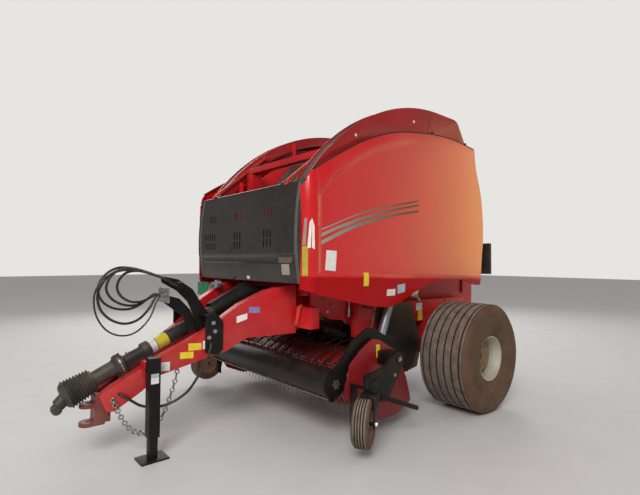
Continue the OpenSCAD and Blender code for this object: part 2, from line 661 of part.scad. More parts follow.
// Cross members of the tailgate and the pins for the rams.
module tailgate_frame() color("#a3161a") {
    // columns: angle round the chamber's middle, depth of the beam
    for (b = [[100, 90], [62, 70], [8, 90]]) side_cut(-tail_in, 2 * tail_in)
        translate(chamber_c) rotate(b[0]) translate([tailgate_r - 100, -b[1] / 2]) square([80, b[1]]);
    side_cut(-tail_in, 2 * tail_in) translate([1815, 975]) square([70, 105]);
    both_sides() side_cut(tail_in + 26, 18) polygon([[1760, 1075], [1850, 1075], [1900, 1500], [1780, 1500]]);
    both_sides() {
        x_bar(tail_in + 26, ram_x - 32, ram_head, 20);
        x_bar(ram_x - 48, ram_x - 32, ram_head, 38);
    }
}

// Rollers that the belts run over at the back.
tail_rollers = [[1150, 2640, 75], [1930, 2200, 75], [2050, 1500, 75], [1780, 880, 75]];
module tailgate_rollers() color("#5a5650") for (r = tail_rollers) x_bar(-tail_in, tail_in, [r[0], r[1]], r[2]);

// Bale belts of the tailgate, straight across the empty chamber on their inner run.
module bale_belts() color("#2a2826") belt_loops([for (r = tail_rollers) [r[0], r[1]]], 75.3);

// Lamp boards on the tailgate's back corners.
module rear_lamps() color("#a8583a") both_sides() {
    lamp_x = 520;
    for (z = [1390, 1570]) translate([tail_in + 2, 2150, z]) cube([24, 200, 40]);
    translate([lamp_x, shaft_tip_y - 76, 1290]) cube([180, 46, 400]);
    for (z = [1320, 1450, 1580]) translate([lamp_x + 30, shaft_tip_y - 31, z]) cube([120, 31, 90]);
}

// Lifting ram, drawn upright with its lower eye at the origin.
module ram_barrel() difference() {
    union() {
        translate([0, 0, 30]) cylinder(h = 960, r = 42);
        translate([-22, 0, 0]) rotate([0, 90, 0]) cylinder(h = 44, r = 40);
    }
    translate([0, 0, 55]) cylinder(h = 1000, r = 25 + fit);
    translate([-30, 0, 0]) rotate([0, 90, 0]) cylinder(h = 60, r = 22 + fit);
}
module ram_rod() {
    translate([0, 0, 300]) cylinder(h = ram_len - 330, r = 25);
    translate([-16, 0, ram_len]) rotate([0, 90, 0]) cylinder(h = 32, r = 38);
    translate([16, 0, ram_len]) rotate([0, 90, 0]) cylinder(h = 10, r = 18);
}
module ram_place() translate([ram_x, ram_foot[0], ram_foot[1]]) rotate([ram_lean - 90, 0, 0]) children();
module ram_barrel_left() color("#b8b8b8") ram_place() ram_barrel();
module ram_barrel_right() color("#b8b8b8") mirror([1, 0, 0]) ram_place() ram_barrel();
module ram_rod_left() color("#d5d5d5") ram_place() ram_rod();
module ram_rod_right() color("#d5d5d5") mirror([1, 0, 0]) ram_place() ram_rod();

// Pickup frame: end plates, cross beam, arms to the rotor's bosses and pins for the windguard.
module pickup_frame() color("#b3191d") {
    beam = [30, reel_c[1] + band_r - 40];
    side_cut(-end_plate_x, 2 * end_plate_x) translate(beam - [30, 30]) square([60, 60]);
    both_sides() {
        difference() {
            side_cut(end_plate_x, 12) polygon([[-598, 403], [-544, 628], [-420, 730], [-280, 806], [-190, 785], [45, 655],
                [110, 520], [165, 410], [214, 250], [222, 198], [11, 111], [-250, 120], [-470, 210]]);
            x_bar(end_plate_x - 5, end_plate_x + 20, reel_c, reel_shaft_r + fit);
        }
        difference() {
            union() {
                side_beam(657, 28, beam, rotor_c, 74);
                side_cut(657, 28) translate(rotor_c) circle(88);
            }
            x_bar(650, 690, rotor_c, boss_r + fit);
        }
        x_bar(windguard_x - 6, end_plate_x + 2, windguard_pivot, 16);
    }
}

// Curved stripper bands that the tines run between, with flat tails over the cross beam.
band_pitch = 2 * (reel_x - 60) / (band_n - 1);
module stripper_bands() color("#8e1518") for (i = [0:band_n - 1])
    side_cut((i - (band_n - 1) / 2) * band_pitch - 21, 42) {
        difference() {
            translate(reel_c) circle(band_r);
            translate(reel_c) circle(band_r - 8);
            translate(reel_c + [0, -band_r - 10]) square([340, 2 * band_r + 2]);
        }
        translate(reel_c + [-2, band_r - 10]) square([332, 10]);
    }

// Tine bar as a comb: a strip with one tine for each gap between the bands.
module tine_comb() {
    end = reel_x - 25;
    root = band_r - 16;
    tine = 7;
    polygon(concat([[-end, root - 18], [-end, root]],
        [for (i = [0:band_n - 2]) let(x = (i + 0.5 - (band_n - 1) / 2) * band_pitch)
            each [[x - tine / 2, root], [x - tine / 2, tine_r - 4], [x + tine / 2, tine_r - 4], [x + tine / 2, root]]],
        [[end, root], [end, root - 18]]));
}

// Tine reel: shaft, spider discs and the tine bars.
module tine_reel() color("#6d6a64") translate([0, reel_c[0], reel_c[1]]) {
    rotate([0, 90, 0]) translate([0, 0, -end_plate_x - 8]) cylinder(h = 2 * end_plate_x + 16, r = reel_shaft_r);
    for (x = [-reel_x + 18, -328, 320, reel_x - 26]) translate([x, 0, 0]) rotate([0, 90, 0]) cylinder(h = 8, r = band_r - 24);
    for (k = [0:bar_n - 1]) rotate([k * 360 / bar_n, 0, 0]) translate([0, 3.5, 0]) rotate([90, 0, 0]) linear_extrude(7) tine_comb();
}

// Bent arms of the windguard with round ends, hung from the pickup's end plates.
module windguard_arms() color("#1b1a19") both_sides() difference() {
    side_cut(windguard_x, 14) {
        translate(guard_roller_c) circle(112);
        polygon([[-730, 450], [-718, 358], [-682, 352], [-640, 400]]);
        polygon([[-640, 420], [-570, 470], [-500, 600], [-400, 710], [-250, 782], [-120, 725], [-20, 630], [30, 622], [62, 650],
            [50, 700], [-50, 795], [-220, 886], [-300, 890], [-470, 805], [-600, 660], [-740, 570]]);
    }
    x_bar(windguard_x - 5, windguard_x + 20, guard_roller_c, 20 + fit);
    x_bar(windguard_x - 5, windguard_x + 20, windguard_pivot, 16 + fit);
}

// Rails of the windguard and the fingers that hold the crop down over the tines.
module windguard() color("#1b1a19") {
    top_rail = [-600, 612];
    low_rail = [-700, 370];
    finger_end = [-180, 742];
    x_bar(-windguard_x, windguard_x, top_rail, 10);
    x_bar(-windguard_x, windguard_x, low_rail, 8);
    for (i = [-7:7]) rod([i * 118, top_rail[0], top_rail[1]], [i * 118, finger_end[0], finger_end[1]], 6);
}

// Crop roller at the front of the windguard.
module crop_roller() color("#22201e") {
    x_bar(-windguard_x + 12, windguard_x - 12, guard_roller_c, roller_d / 2);
    x_bar(-windguard_x - 26, windguard_x + 26, guard_roller_c, 20);
    both_sides() x_bar(windguard_x + 20, windguard_x + 34, guard_roller_c, 42);
}

// Bent arms of the gauge wheels with their caster tubes, guard plates and levers.
module gauge_arms() color("#1d1b1a") both_sides() {
    pivot = [-150, 650];
    arm_t = 26;
    plate_x = end_plate_x + 12;
    plate_y = caster_at[1] - 26;
    difference() {
        union() {
            side_cut(caster_at[0] - arm_t / 2, arm_t) {
                polygon([[-96, 690], [-190, 702], [-330, 612], [-552, 572], [-552, 485], [-450, 470], [-392, 352],
                    [-300, 335], [-236, 420], [-100, 600]]);
                translate(pivot) circle(56);
            }
            translate([caster_at[0], caster_at[1], 470]) cylinder(h = 100, r = 28);
        }
        translate([caster_at[0], caster_at[1], 400]) cylinder(h = 300, r = caster_pin_r + fit);
    }
    side_cut(plate_x, caster_at[0] - arm_t / 2 - plate_x) translate(pivot - [70, 60]) square([130, 110]);
    translate([plate_x, plate_y, 150]) cube([1125 - plate_x, 8, 320]);
    translate([plate_x, plate_y, 466]) cube([1300 - plate_x, 8, 24]);
    rod([caster_at[0] + 5, -370, 385], [caster_at[0] + 56, 30, 225], 20);
}

// Caster fork of a gauge wheel, drawn with its pin over the origin and the wheel ahead of it.
module gauge_fork() {
    leg_x = gauge_w / 2 + 10;
    translate([0, 0, 446]) cylinder(h = 136, r = caster_pin_r);
    translate([-30, -caster_trail, 443]) cube([leg_x + 30, caster_trail + 30, 12]);
    side_cut(leg_x, 12) polygon([[30, 455], [-caster_trail, 455], [-caster_trail - 38, gauge_z + 10], [-caster_trail - 26, gauge_z - 30],
        [-caster_trail + 26, gauge_z - 30], [30, 400]]);
    x_bar(-50, leg_x + 18, [-caster_trail, gauge_z], 14);
}
module gauge_place(turn) translate([caster_at[0], caster_at[1], 0]) rotate(turn) children();
module gauge_fork_left() color("#1d1b1a") gauge_place(caster_turn) gauge_fork();
module gauge_fork_right() color("#1d1b1a") mirror([1, 0, 0]) gauge_place(0) gauge_fork();

// Gauge wheel with its ribbed tyre and hub.
module gauge_wheel() {
    r = gauge_d / 2;
    rotate([0, 90, 0]) rotate_extrude($fn = 64) difference() {
        union() {
            translate([100, -gauge_w / 2]) square([r - 130, gauge_w]);
            translate([100, -gauge_w / 2 + 30]) square([r - 100, gauge_w - 60]);
            for (s = [-1, 1]) translate([r - 30, s * (gauge_w / 2 - 30)]) circle(30);
            translate([14 + fit, -40]) square([87, 12]);
            translate([14 + fit, -45]) square([25, 90]);
        }
        for (x = [-30, -10, 10, 30]) translate([r - 6, x - 2]) square([10, 4]);
    }
}
module gauge_wheel_left() color("#2a2624") gauge_place(caster_turn) translate([0, -caster_trail, gauge_z]) gauge_wheel();
module gauge_wheel_right() color("#2a2624") mirror([1, 0, 0]) gauge_place(0) translate([0, -caster_trail, gauge_z]) gauge_wheel();

// Parking jack: swivel pin, square tube, inner leg and foot plate.
module jack() color("#171717") {
    tube = 80;
    leg = 60;
    translate([jack_x - tube / 2, jack_y - tube / 2, 160]) cube([tube, tube, 575]);
    translate([jack_x - leg / 2, jack_y - leg / 2, 8]) cube([leg, leg, 160]);
    translate([jack_x - 78, jack_y - 100, 0]) cube([156, 200, 12]);
    x_bar(187, jack_x - tube / 2 + 2, [jack_y, jack_pivot_z], jack_pin_r);
    x_bar(228, jack_x - tube / 2 + 2, [jack_y, jack_pivot_z], 42);
}

axle_beam();
frame_rails();
cross_beam();
side_plates();
side_walls();
front_frame();
net_box();
arches();
arch_liners();
drawbar();
hitch();
gearbox();
drive_shaft();
shaft_bellows();
hose_bracket();
coupling_rack();
valve_block();
side_covers();
float_springs();
knife_floor();
chamber_rollers();
front_belts();
safety_chain();
hose_a();
hose_b();
hose_c();
hose_d();
hose_e();
brake_line();
rotor();
front_guard();
guard_arms();
shield_left();
shield_right();
tailgate_walls();
tailgate_frame();
tailgate_rollers();
bale_belts();
rear_lamps();
ram_barrel_left();
ram_rod_left();
ram_barrel_right();
ram_rod_right();
tyre_left();
rim_left();
tyre_right();
rim_right();
pickup_frame();
stripper_bands();
gauge_arms();
tine_reel();
windguard_arms();
windguard();
crop_roller();
gauge_fork_left();
gauge_fork_right();
gauge_wheel_left();
gauge_wheel_right();
jack();
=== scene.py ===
import json
from math import cos, pi, radians, sin, sqrt

import bmesh
import bpy
from mathutils import Matrix, Vector

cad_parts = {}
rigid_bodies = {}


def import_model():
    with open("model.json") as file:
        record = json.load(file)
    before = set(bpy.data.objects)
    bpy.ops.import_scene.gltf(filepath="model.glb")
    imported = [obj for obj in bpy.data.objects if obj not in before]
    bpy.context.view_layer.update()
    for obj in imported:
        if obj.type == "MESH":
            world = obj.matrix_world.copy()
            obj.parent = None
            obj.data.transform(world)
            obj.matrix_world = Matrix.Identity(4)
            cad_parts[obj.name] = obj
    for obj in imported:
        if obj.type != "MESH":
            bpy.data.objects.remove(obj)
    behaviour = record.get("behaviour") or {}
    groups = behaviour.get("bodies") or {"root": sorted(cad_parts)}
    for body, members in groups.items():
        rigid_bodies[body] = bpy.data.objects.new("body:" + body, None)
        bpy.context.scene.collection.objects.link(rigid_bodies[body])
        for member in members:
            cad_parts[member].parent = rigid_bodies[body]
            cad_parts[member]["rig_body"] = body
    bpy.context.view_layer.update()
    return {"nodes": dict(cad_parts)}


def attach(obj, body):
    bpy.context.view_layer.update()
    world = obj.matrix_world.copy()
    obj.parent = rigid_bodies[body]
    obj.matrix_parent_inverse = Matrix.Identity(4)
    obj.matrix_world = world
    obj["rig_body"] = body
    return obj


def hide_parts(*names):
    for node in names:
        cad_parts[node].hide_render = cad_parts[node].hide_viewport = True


# Round baler with a variable chamber. Metres; the tractor end points to -Y, the machine's left side is +X.
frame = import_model()
NODES = frame["nodes"]
SIDES = {"left": 1, "right": -1}


def mm(*values):
    """Millimetres of the machine's drawing as metres."""
    return tuple(v * 0.001 for v in values)


# Camera, fitted to the photograph. Width and focal length are in pixels, the sensor is in millimetres.
PHOTO_WIDTH, FOCAL_LENGTH, SENSOR = 640, 437.394, 36


def aim_camera():
    yaw, pitch, roll = radians(49.051), radians(-1.681), radians(0.318)
    ahead = Vector((-sin(yaw) * cos(pitch), cos(yaw) * cos(pitch), -sin(pitch)))
    right = Vector((cos(yaw), sin(yaw), 0))
    above = right.cross(ahead)
    right, above = right * cos(roll) + above * sin(roll), above * cos(roll) - right * sin(roll)
    data = bpy.data.cameras.new("photo_camera")
    data.sensor_width = SENSOR
    data.lens = FOCAL_LENGTH * SENSOR / PHOTO_WIDTH
    camera = bpy.data.objects.new("photo_camera", data)
    bpy.context.scene.collection.objects.link(camera)
    turn = Matrix((right, above, -ahead)).transposed().to_4x4()
    camera.matrix_world = Matrix.Translation((3.528, -3.016, 1.456)) @ turn
    bpy.context.scene.camera = camera


aim_camera()


# Materials
DUST_ROUGH, SKIN_ROUGH = 0.75, 0.04


def linear(code):
    """An sRGB hex colour as linear RGBA."""
    parts = [int(code[i:i + 2], 16) / 255 for i in (1, 3, 5)]
    return [c / 12.92 if c <= 0.04045 else ((c + 0.055) / 1.055) ** 2.4 for c in parts] + [1.0]


def add(tree, kind, settings=(), links=()):
    """Adds a node with its settings and its links to a tree."""
    n = tree.nodes.new(kind)
    for key, value in dict(settings).items():
        if isinstance(key, str) and hasattr(n, key):
            setattr(n, key, value)
        else:
            n.inputs[key].default_value = value
    for key, source in dict(links).items():
        tree.links.new(source, n.inputs[key])
    return n


def maths(tree, operation, *terms, clamp=False):
    """A sum or product of sockets and numbers."""
    n = add(tree, "ShaderNodeMath", {"operation": operation, "use_clamp": clamp})
    for i, term in enumerate(terms):
        if isinstance(term, (int, float)):
            n.inputs[i].default_value = term
        else:
            tree.links.new(term, n.inputs[i])
    return n.outputs[0]


def ranged(tree, value, start=0.0, end=1.0, low=0.0, high=1.0):
    """A value that runs from low to high while its source runs from start to end."""
    limits = {"From Min": start, "From Max": end, "To Min": low, "To Max": high}
    return add(tree, "ShaderNodeMapRange", limits, {"Value": value}).outputs[0]


def blended(tree, share, first, second):
    """Two colours mixed by a share; each is a hex colour or a socket."""
    mixed = add(tree, "ShaderNodeMix", {"data_type": "RGBA"}, {0: share})
    for slot, colour in ((6, first), (7, second)):
        if isinstance(colour, str):
            mixed.inputs[slot].default_value = linear(colour)
        else:
            tree.links.new(colour, mixed.inputs[slot])
    return mixed.outputs[2]


def noise(tree, place, size, detail, settings=()):
    """Noise whose patches have a size in metres."""
    look = {"Scale": 1 / size, "Detail": detail, **dict(settings)}
    return add(tree, "ShaderNodeTexNoise", look, {"Vector": place}).outputs["Fac"]


def object_place(tree):
    return add(tree, "ShaderNodeTexCoord").outputs["Object"]


def split(tree, vector):
    return add(tree, "ShaderNodeSeparateXYZ", links={0: vector}).outputs


def coat_of_dust(tree, clean, dust, amount, low, high, patch):
    """Dust that thickens towards the ground and on faces that look up, broken up in patches."""
    place = object_place(tree)
    lower = ranged(tree, split(tree, place)["Z"], high, low, 0.12, 1.0)
    normal = add(tree, "ShaderNodeNewGeometry").outputs["Normal"]
    upward = ranged(tree, split(tree, normal)["Z"], 0.2, 1.0, 0.0, 0.55)
    broken = ranged(tree, noise(tree, place, patch, 6.0, {"Roughness": 0.65}), 0.36, 0.72, 0.1, 1.0)
    share = maths(tree, "MULTIPLY", maths(tree, "ADD", lower, upward), broken)
    share = maths(tree, "MULTIPLY", share, amount, clamp=True)
    return blended(tree, share, clean, dust), share


def finish(name, slot, colour, shade, rough, metal=0.0, coat=0.0, dust=0.0, dust_colour="#a08c74",
           low=0.2, high=1.4, patch=0.18, mottle=0.25, grain=0.0012, relief=0.0, ior=1.5):
    """A finish: two close tones in broad patches, a fine grain with its relief, and field dust on top."""
    material = bpy.data.materials.new(name)
    material.use_nodes = True
    tree = material.node_tree
    shader = tree.nodes["Principled BSDF"]
    place = object_place(tree)
    tone = ranged(tree, noise(tree, place, mottle, 4.0), 0.35, 0.65)
    seen, share = coat_of_dust(tree, blended(tree, tone, colour, shade), dust_colour, dust, low, high, patch)
    tree.links.new(seen, shader.inputs["Base Color"])
    worn = ranged(tree, noise(tree, place, mottle * 0.2, 5.0), low=rough * 0.8, high=rough * 1.25)
    dulled = add(tree, "ShaderNodeMix", {"data_type": "FLOAT", 3: DUST_ROUGH}, {0: share, 2: worn})
    tree.links.new(dulled.outputs[0], shader.inputs["Roughness"])
    shader.inputs["Metallic"].default_value = metal
    shader.inputs["Coat Weight"].default_value = coat
    shader.inputs["Coat Roughness"].default_value = SKIN_ROUGH
    if not metal:
        shader.inputs["IOR"].default_value = ior
    if relief:
        fine = noise(tree, place, grain, 3.0)
        bump = add(tree, "ShaderNodeBump", {"Strength": 0.5, "Distance": relief}, {"Height": fine})
        tree.links.new(bump.outputs[0], shader.inputs["Normal"])
    material["slot"] = slot
    return material


def recolour(material, share, colour):
    """Mixes another colour into a finish by a share."""
    skin = material.node_tree.nodes["Principled BSDF"].inputs["Base Color"]
    mixed = blended(material.node_tree, share, skin.links[0].from_socket, colour)
    material.node_tree.links.new(mixed, skin)


def paint_shade_below(material, colour, slope, level, soft, coat_above, coat_below):
    """Darkens a finish with painted shade and thins its gloss below a line that falls by slope towards +Y."""
    tree = material.node_tree
    place = split(tree, object_place(tree))
    line = maths(tree, "MULTIPLY_ADD", place["Y"], slope, place["Z"])
    share = ranged(tree, line, level + soft, level - soft)
    recolour(material, share, colour)
    for name, above, below in (("Coat Weight", coat_above, coat_below), ("Specular IOR Level", 0.5, 0.15)):
        tree.links.new(ranged(tree, share, low=above, high=below), tree.nodes["Principled BSDF"].inputs[name])


def fade_along(material, colour, start, end):
    """Lets a film's colour run into another from y = start to y = end."""
    tree = material.node_tree
    recolour(material, ranged(tree, split(tree, object_place(tree))["Y"], start, end), colour)


# Baked gloss enamel on sheet steel: deep red under a clear skin, with a faint orange-peel and dust low down.
ENAMEL = finish("baked_red_enamel", "red", "#c60e18", "#b20b14", 0.36, coat=0.2, dust=0.18, low=0.2, high=1.5,
                grain=0.012, relief=0.00025, mottle=0.5)
# The same enamel on the side shields, polished and almost clean.
SHIELD_ENAMEL = finish("polished_red_enamel", "red", "#d00a12", "#c30910", 0.2, coat=0.9, dust=0.10, low=0.9,
                       high=1.9, grain=0.02, relief=0.00015, mottle=0.9)
# Below the fold, where the sheet faces the ground, the enamel is darkened with painted shade.
paint_shade_below(SHIELD_ENAMEL, "#ae0a0e", 0.03, 1.306, 0.010, 0.9, 0.05)
# Enamel of the crescent plates, darkened with painted shade because they lie behind the shields' upper edges.
SHADED_CRESCENT_ENAMEL = finish("shaded_red_enamel", "red", "#a50e15", "#920c12", 0.32, coat=0.3, dust=0.15,
                         high=3.2, grain=0.012, relief=0.0002, mottle=0.5)
# Enamel that the pick-up's crop has dulled: deeper, with almost no clear skin left.
CROP_ENAMEL = finish("crop_dulled_enamel", "red", "#94101a", "#7f0c14", 0.4, coat=0.1, dust=0.2,
                     dust_colour="#6b4a38", high=1.2, grain=0.012, relief=0.0002, mottle=0.3)
# Enamel of the cross beam, which sits in the shade and keeps its full red.
BEAM_ENAMEL = finish("satin_red_enamel", "red", "#d00d18", "#c00b14", 0.45, coat=0.1, dust=0.08, high=1.2,
                     grain=0.012, relief=0.0002, mottle=0.5)
# The red enamel inside the machine, darker with painted shade, flatter and dustier.
SHADED_INNER_RED = finish("shaded_inner_red_enamel", "dark_red", "#6d0a10", "#58080d", 0.45, coat=0.1, dust=0.35, high=2.2,
                   grain=0.01, relief=0.0003)
# Orange-red enamel of the guard's arms, which has faded in the sun.
FADED_RED = finish("faded_orange_enamel", "orange_red", "#c23a26", "#ad2f20", 0.35, coat=0.3, dust=0.2,
                   high=2.6)
# Injection-moulded smoked polycarbonate: brown-black, glossy, with a soft waviness.
SMOKED = finish("smoked_polycarbonate", "bronze_panel", "#2b2521", "#1f1b18", 0.26, coat=0.3, dust=0.10,
                dust_colour="#8b7d6a", low=1.2, high=2.6, grain=0.03, relief=0.0004, mottle=0.35)
# The same plastic on the arches' upper edges, matt with dust.
SMOKED_MATT = finish("dusty_polycarbonate", "bronze_panel", "#5b5045", "#463d35", 0.5, dust=0.5, high=3.2,
                     dust_colour="#8b7d6a")
# Powder coat on arms and stands: black with a fine pebble.
POWDER = finish("black_powder_coat", "black_paint", "#0d0c0c", "#080808", 0.45, dust=0.12, high=1.6,
                dust_colour="#6b5a48", grain=0.0022, relief=0.0004, ior=1.35)
# Moulded polyethylene of shaft guards and covers: black, waxy, slightly scuffed.
MOULDED = finish("moulded_polyethylene", "black_plastic", "#191819", "#111111", 0.48, dust=0.3, high=1.9,
                 grain=0.003, relief=0.0003)
# Brown-black polyethylene of the chain covers, dustier than the shaft's.
COVER_PLASTIC = finish("dusty_polyethylene", "black_plastic", "#1d1611", "#15100c", 0.5, dust=0.25,
                       dust_colour="#6b5a48", high=1.6, grain=0.003, relief=0.0003)
# Bare steel that crop has polished and weather has browned.
STEEL = finish("crop_polished_steel", "steel", "#8c8780", "#5e564d", 0.38, metal=1.0, dust=0.45, high=2.0,
               grain=0.004, relief=0.0003, mottle=0.12)
# Zinc plating: pale grey with a faint spangle.
ZINC = finish("zinc_plate", "zinc", "#c4c2bd", "#a3a19b", 0.32, metal=1.0, dust=0.2, high=1.4, mottle=0.02)
# Hard chrome on ram rods.
CHROME = finish("hard_chrome", "chrome_rod", "#dcdde0", "#cfd0d4", 0.1, metal=1.0, dust=0.05, mottle=0.05)
# Silver-painted ram barrels.
SILVER = finish("silver_ram_paint", "steel", "#b9bcc2", "#a4a7ad", 0.3, metal=0.85, dust=0.15, high=1.5,
                mottle=0.08)
# Synthetic rubber hose: black-green under a woven print, semi-gloss.
HOSE = finish("nitrile_hose_rubber", "rubber", "#1f2420", "#161a17", 0.35, dust=0.15, high=2.0, grain=0.002,
              relief=0.0003)
# Belting: textile-faced rubber, dull black with chaff.
BELTING = finish("baler_belting", "rubber", "#2c2a28", "#211f1e", 0.6, dust=0.5, high=3.4, grain=0.005,
                 relief=0.0008)
# Soft black rubber of the guard's edge seals, also used as painted shade in the gap along the arches.
SEAL_AND_GAP_SHADE = finish("edge_seal_and_gap_shade", "rubber", "#1c1b1b", "#141313", 0.55, dust=0.2, high=2.4)
# Rim paint: pale grey under tan field dust.
RIM_PAINT = finish("rim_paint", "rim", "#bcb8a9", "#a9a493", 0.35, coat=0.2, dust=0.25, dust_colour="#93795c",
                   high=0.9)
DUSTY_DISC = finish("dusty_wheel_disc", "rim", "#93765a", "#7c6047", 0.6, dust=0.6, dust_colour="#80603f",
                    high=1.2)
# Pale caps over the crescent plates' screws, pale partly as a painted highlight on the screw heads.
PALE_CAP = finish("pale_cap_and_painted_glint", "rim", "#e2dbd6", "#d2cac4", 0.35, mottle=0.02)
# Lamp mouldings and lenses: acrylic over a black housing.
LENS_RED = finish("red_acrylic_lens", "lamp", "#b01812", "#9c120e", 0.12, coat=0.6, mottle=0.02, ior=1.49)
LENS_AMBER = finish("amber_acrylic_lens", "lamp", "#e07a14", "#d06c0e", 0.12, coat=0.6, mottle=0.02, ior=1.49)
LENS_CLEAR = finish("clear_acrylic_lens", "lamp", "#d9d7d0", "#c9c6bf", 0.12, coat=0.6, mottle=0.02, ior=1.49)
LAMP_HOUSING = finish("lamp_housing", "lamp", "#262321", "#1b1918", 0.5, dust=0.3, high=2.0)
# Printed vinyl plates, left blank: satin film with a slight yellowing.
WHITE_VINYL = finish("white_vinyl", "rim", "#eceae4", "#dedbd2", 0.3, coat=0.3, dust=0.12, mottle=0.05)
YELLOW_VINYL = finish("yellow_vinyl", "lamp", "#e8cf1c", "#dcc218", 0.3, coat=0.3, dust=0.15, mottle=0.05)
BLUE_VINYL = finish("pale_blue_vinyl", "rim", "#a9c3c8", "#9ab5bb", 0.3, coat=0.3, dust=0.12, mottle=0.05)
GREY_VINYL = finish("grey_vinyl", "rim", "#96968a", "#8a8a7e", 0.3, coat=0.3, mottle=0.2)
OLIVE_VINYL = finish("yellow_olive_vinyl", "lamp", "#b9a83a", "#a79631", 0.3, coat=0.3, dust=0.12,
                     mottle=0.05)
# The shield's bands: light grey at the front, run out to dark olive at the back.
STRIPE_VINYL = finish("fading_stripe_vinyl", "rim", "#9a9a8a", "#8f8f80", 0.3, coat=0.2, mottle=0.2)
fade_along(STRIPE_VINYL, "#3f351d", -0.74, 0.30)
# Small plastic and enamel parts: green caps and valve cover, and the orange lever beside the drawbar.
GREEN_CAP = finish("green_cap_plastic", "lamp", "#1f7a4c", "#17633d", 0.4, mottle=0.05)
ORANGE_LEVER = finish("orange_lever_enamel", "orange_red", "#d8452c", "#c23a24", 0.35, coat=0.3, mottle=0.05)
# The lift sign on the drawbar, blank: pale violet film.
LILAC_FILM = finish("lilac_vinyl", "rim", "#8f7fb4", "#7f6fa6", 0.3, coat=0.3, dust=0.12, mottle=0.03)
# Films on the guard: one brown and see-through, one pale.
GUARD_FILM = finish("brown_film", "bronze_panel", "#6d5c50", "#605046", 0.3, coat=0.3, mottle=0.03)
BLANK_FILM = finish("grey_film", "rim", "#a79c8f", "#978b7f", 0.3, coat=0.3, mottle=0.02)
# Grey felt-backed strip along the guard's upright edges.
EDGE_STRIP = finish("grey_edge_strip", "rubber", "#5d5c59", "#504f4c", 0.6, dust=0.2, high=2.6, mottle=0.1)
# Rails that crop keeps bright, and the roller's thin black coat with dust on it.
BRIGHT_BAR = finish("bright_worn_bar", "steel", "#a9a49c", "#7f786e", 0.35, metal=1.0, dust=0.2, high=1.4,
                    mottle=0.06)
ROLLER_COAT = finish("worn_roller_coat", "black_paint", "#110d0a", "#0b0908", 0.45, dust=0.2,
                     dust_colour="#5b4838", high=1.1, grain=0.004, relief=0.0003, mottle=0.2)


# Tyre compound: brown-grey side walls, ribs dusted pale in patches, grooves near black with painted shade.
TYRE_RUBBER = finish("dusty_tyre_rubber", "tyre", "#5d432f", "#4a3424", 0.72, dust=0.4, dust_colour="#85664a",
                     low=0.0, high=1.0, patch=0.09, mottle=0.2, grain=0.006, relief=0.0012)
RIB_RUBBER = finish("dusty_rib_rubber", "tyre", "#75665a", "#574a41", 0.8, dust=0.6, dust_colour="#8f7e6c",
                    low=0.0, high=1.4, patch=0.05, mottle=0.08, grain=0.006, relief=0.001)
# The grooves' near-black colour is painted shade.
RECESS_SHADE = finish("shaded_groove_rubber", "tyre", "#1e1814", "#15110e", 0.8, dust=0.1, mottle=0.1)
TYRE_SKINS = [TYRE_RUBBER, RIB_RUBBER, RECESS_SHADE]
WALL, RIB, GROOVE = 0, 1, 2


# Mesh building
def link(obj):
    bpy.context.scene.collection.objects.link(obj)
    return obj


def shape_up(mesh, sharp):
    for face in mesh.polygons:
        face.use_smooth = True
    mesh.set_sharp_from_angle(angle=radians(sharp))


def piece(name, bm, material, body, stands_for=(), sharp=32):
    """A finished piece from a bmesh: smooth with sharp edges, on its body, in its finish."""
    mesh = bpy.data.meshes.new(name)
    bm.to_mesh(mesh)
    bm.free()
    shape_up(mesh, sharp)
    for m in (material if isinstance(material, (list, tuple)) else [material]):
        mesh.materials.append(m)
    obj = link(bpy.data.objects.new(name, mesh))
    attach(obj, body)
    if stands_for:
        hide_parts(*stands_for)
    return obj


def merge(target, part, both_sides=False):
    """Puts a part's faces into the target, on both sides of the machine if asked."""
    for flip in ((1, -1) if both_sides else (1,)):
        mesh = bpy.data.meshes.new("part")
        part.to_mesh(mesh)
        if flip < 0:
            mesh.transform(Matrix.Scale(-1, 4, (1, 0, 0)))
            mesh.flip_normals()
        target.from_mesh(mesh)
        bpy.data.meshes.remove(mesh)
    part.free()


def soften(bm, width, segments=2):
    """Rounds every edge whose faces meet at more than 30 degrees."""
    edges = [e for e in bm.edges if len(e.link_faces) == 2 and e.calc_face_angle(0) > radians(30)]
    bmesh.ops.bevel(bm, geom=edges, offset=width, segments=segments, profile=0.6, affect="EDGES",
                    clamp_overlap=True)


def pull(bm, made, vec):
    """Moves the corners that an extrusion made."""
    bmesh.ops.translate(bm, verts=[v for v in made["geom"] if isinstance(v, bmesh.types.BMVert)], vec=vec)


def face_way(bm, way):
    """Turns all faces to one side, so that the first one looks the given way."""
    bmesh.ops.recalc_face_normals(bm, faces=bm.faces)
    if bm.faces[:][0].normal.dot(Vector(way)) < 0:
        bmesh.ops.reverse_faces(bm, faces=bm.faces)


def mirror(bm):
    """Moves a mesh to the machine's other side."""
    bm.transform(Matrix.Scale(-1, 4, (1, 0, 0)))
    bmesh.ops.reverse_faces(bm, faces=bm.faces)


def dressed(node, material, bevel):
    """A node's own shape with its doubles merged, its flat faces joined and its edges rounded."""
    source = NODES[node]
    bm = bmesh.new()
    bm.from_mesh(source.data)
    bmesh.ops.remove_doubles(bm, verts=bm.verts, dist=0.00002)
    bmesh.ops.dissolve_limit(bm, angle_limit=radians(0.4), verts=bm.verts, edges=bm.edges)
    if bevel:
        soften(bm, bevel)
    piece(node + "_dressed", bm, material, source["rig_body"], (node,))


def prism(outline, x0, x1, bevel=0.0):
    """An outline of (y, z) points given a width from x0 to x1."""
    bm = bmesh.new()
    face = bm.faces.new([bm.verts.new((x0, y, z)) for y, z in outline])
    pull(bm, bmesh.ops.extrude_face_region(bm, geom=[face]), (x1 - x0, 0, 0))
    bmesh.ops.recalc_face_normals(bm, faces=bm.faces)
    if bevel:
        soften(bm, bevel)
    return bm


